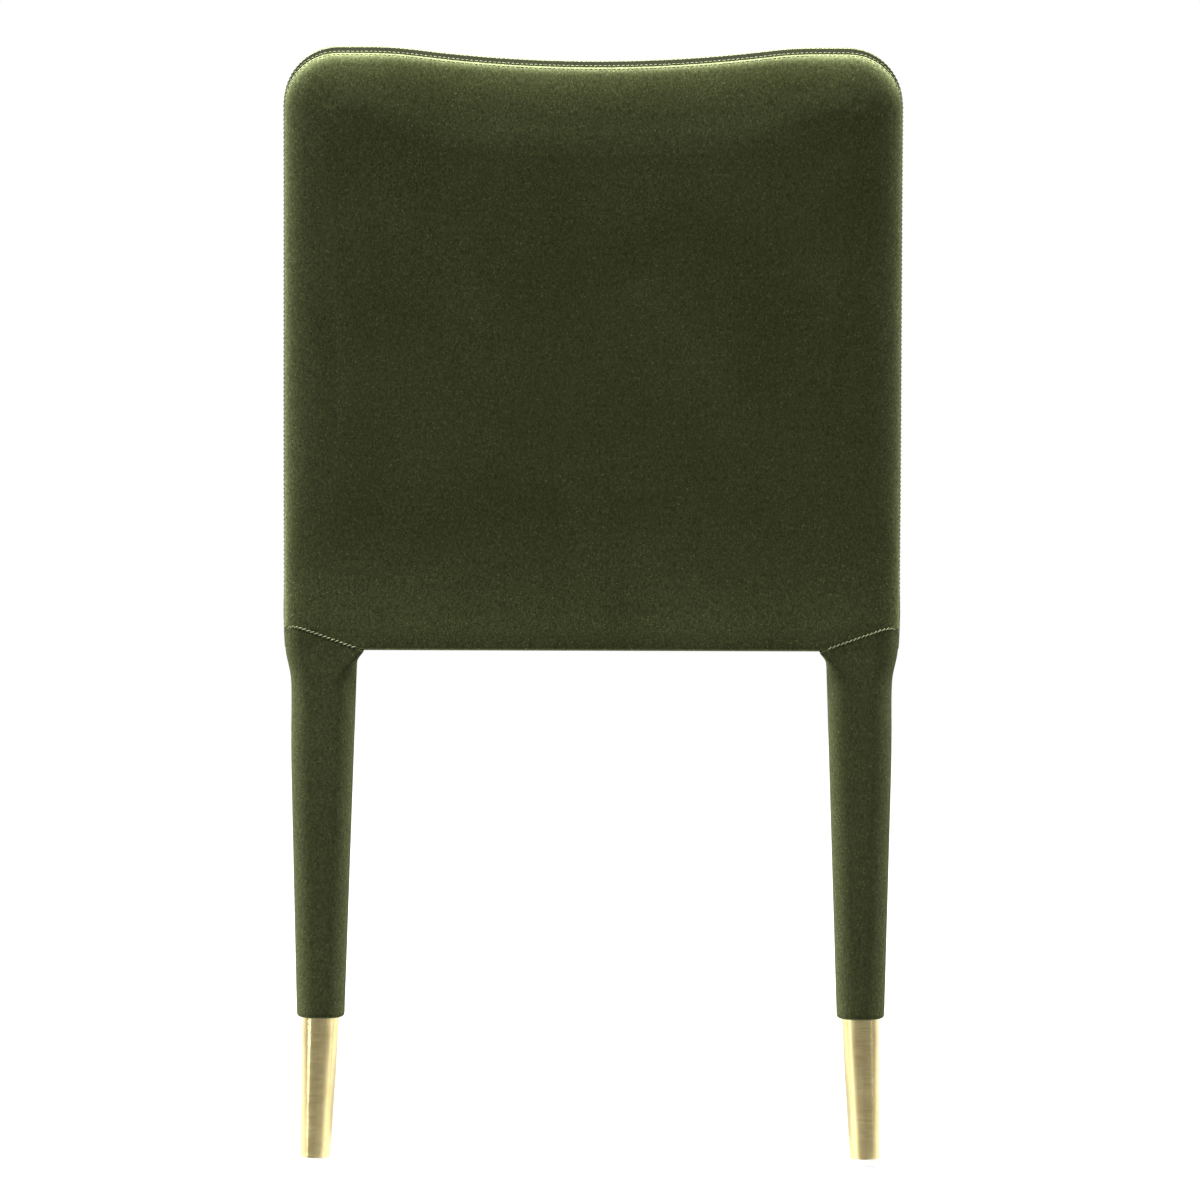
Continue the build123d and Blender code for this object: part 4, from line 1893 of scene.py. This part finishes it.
@dataclass(frozen=True)
class SoftBox:
    """A rectangular studio light with a diffusing front."""

    name: str
    place: Spot
    aim: Spot
    size: Span
    watts: float

    def build(self) -> None:
        """Puts the light in the scene."""
        lamp = bpy.data.lights.new(self.name, "AREA")
        lamp.shape = "RECTANGLE"
        lamp.size, lamp.size_y = self.size
        lamp.energy = self.watts
        light = bpy.data.objects.new(self.name, lamp)
        light.location = self.place
        light.rotation_euler = looking(self.place, self.aim)
        bpy.context.scene.collection.objects.link(light)


@dataclass(frozen=True)
class Studio:
    """White studio with soft boxes, and a long lens behind the chair."""

    camera_place: Spot = (-0.0065, 7.25, 1.0)
    camera_aim: Spot = (-0.0065, 0.25, 0.4535)
    camera_roll: float = 0.18
    lens: float = 266.7
    sensor: float = 36.0
    sight: float = 200.0
    surround: float = 0.28
    floor_size: float = 7.0

    def build_floor(self) -> None:
        """Lays the floor."""
        half = self.floor_size / 2
        mesh = bpy.data.meshes.new("studio_floor")
        corners = [(-half, -half, 0), (half, -half, 0), (half, half, 0), (-half, half, 0)]
        mesh.from_pydata(corners, [], [(0, 1, 2, 3)])
        mesh.materials.append(STUDIO_FLOOR.material())
        floor = bpy.data.objects.new("studio_floor", mesh)
        bpy.context.scene.collection.objects.link(floor)

    def build_light(self) -> None:
        """Lights the studio with a surround, white to the eye and dim elsewhere, and soft boxes."""
        world = bpy.data.worlds.new("white_studio")
        bpy.context.scene.world = world
        world.use_nodes = True
        tree = world.node_tree
        tree.nodes.clear()
        seen = add_node(tree, "ShaderNodeLightPath").outputs["Is Camera Ray"]
        whites = {0: seen}
        for socket, strength in ((1, self.surround), (2, 1.0)):
            values = {"Color": (1, 1, 1, 1), "Strength": strength}
            whites[socket] = add_node(tree, "ShaderNodeBackground", values).outputs[0]
        both = add_node(tree, "ShaderNodeMixShader", {}, whites)
        add_node(tree, "ShaderNodeOutputWorld", {}, {"Surface": both.outputs[0]})
        boxes = (
            SoftBox("left_box", (3.0, 1.1, 1.4), (0.0, 0.2, 0.5), (1.0, 2.2), watts=150.0),
            SoftBox("right_box", (-3.0, 1.1, 1.4), (0.0, 0.2, 0.5), (0.8, 2.2), watts=16.0),
            SoftBox("top_box", (0.0, 0.72, 3.1), (0.0, 0.3, 0.8), (2.2, 0.7), watts=640.0),
            SoftBox("front_box", (0.6, -3.6, 2.4), (0.0, 0.0, 0.5), (2.4, 2.0), watts=60.0),
        )
        for box in boxes:
            box.build()

    def build_camera(self) -> None:
        """Sets the camera behind the chair, a little above the crest."""
        lens = bpy.data.cameras.new("studio_camera")
        lens.lens = self.lens
        lens.sensor_width = self.sensor
        lens.clip_end = self.sight
        camera = bpy.data.objects.new("studio_camera", lens)
        camera.location = self.camera_place
        camera.rotation_euler = looking(self.camera_place, self.camera_aim)
        camera.rotation_euler.rotate_axis("Z", math.radians(self.camera_roll))
        bpy.context.scene.collection.objects.link(camera)
        bpy.context.scene.camera = camera
        bpy.context.scene.view_settings.view_transform = "Standard"


def main() -> None:
    """Builds the chair, its finishes and the studio."""
    logging.basicConfig(level=logging.INFO, format="%(name)s %(message)s")
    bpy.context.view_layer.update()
    velvet = VELVET.material()
    thread = THREAD.material()
    dust_cloth = DUST_CLOTH.material()
    finishes = {
        Slot.VELVET: velvet,
        Slot.TIMBER: BEECH.material(),
        Slot.PLYWOOD: PLYWOOD.material(),
        Slot.FOAM: FOAM.material(),
        Slot.WEBBING: WEBBING.material(),
        Slot.DUST_CLOTH: dust_cloth,
        Slot.BRASS: BrushedBrass().material(),
        Slot.NYLON: NYLON.material(),
    }
    chair = DiningChair()
    chair.build_back(velvet, SHADED_BAND_VELVET.material(), thread)
    chair.build_seat(SHADED_SEAT_VELVET.material(), velvet, thread)
    chair.build_legs(SLEEVE_VELVET.material(), thread)
    chair.build_underside(dust_cloth)
    chair.finish_solids(finishes)
    studio = Studio()
    studio.build_floor()
    studio.build_light()
    studio.build_camera()


if __name__ == "__main__":
    main()
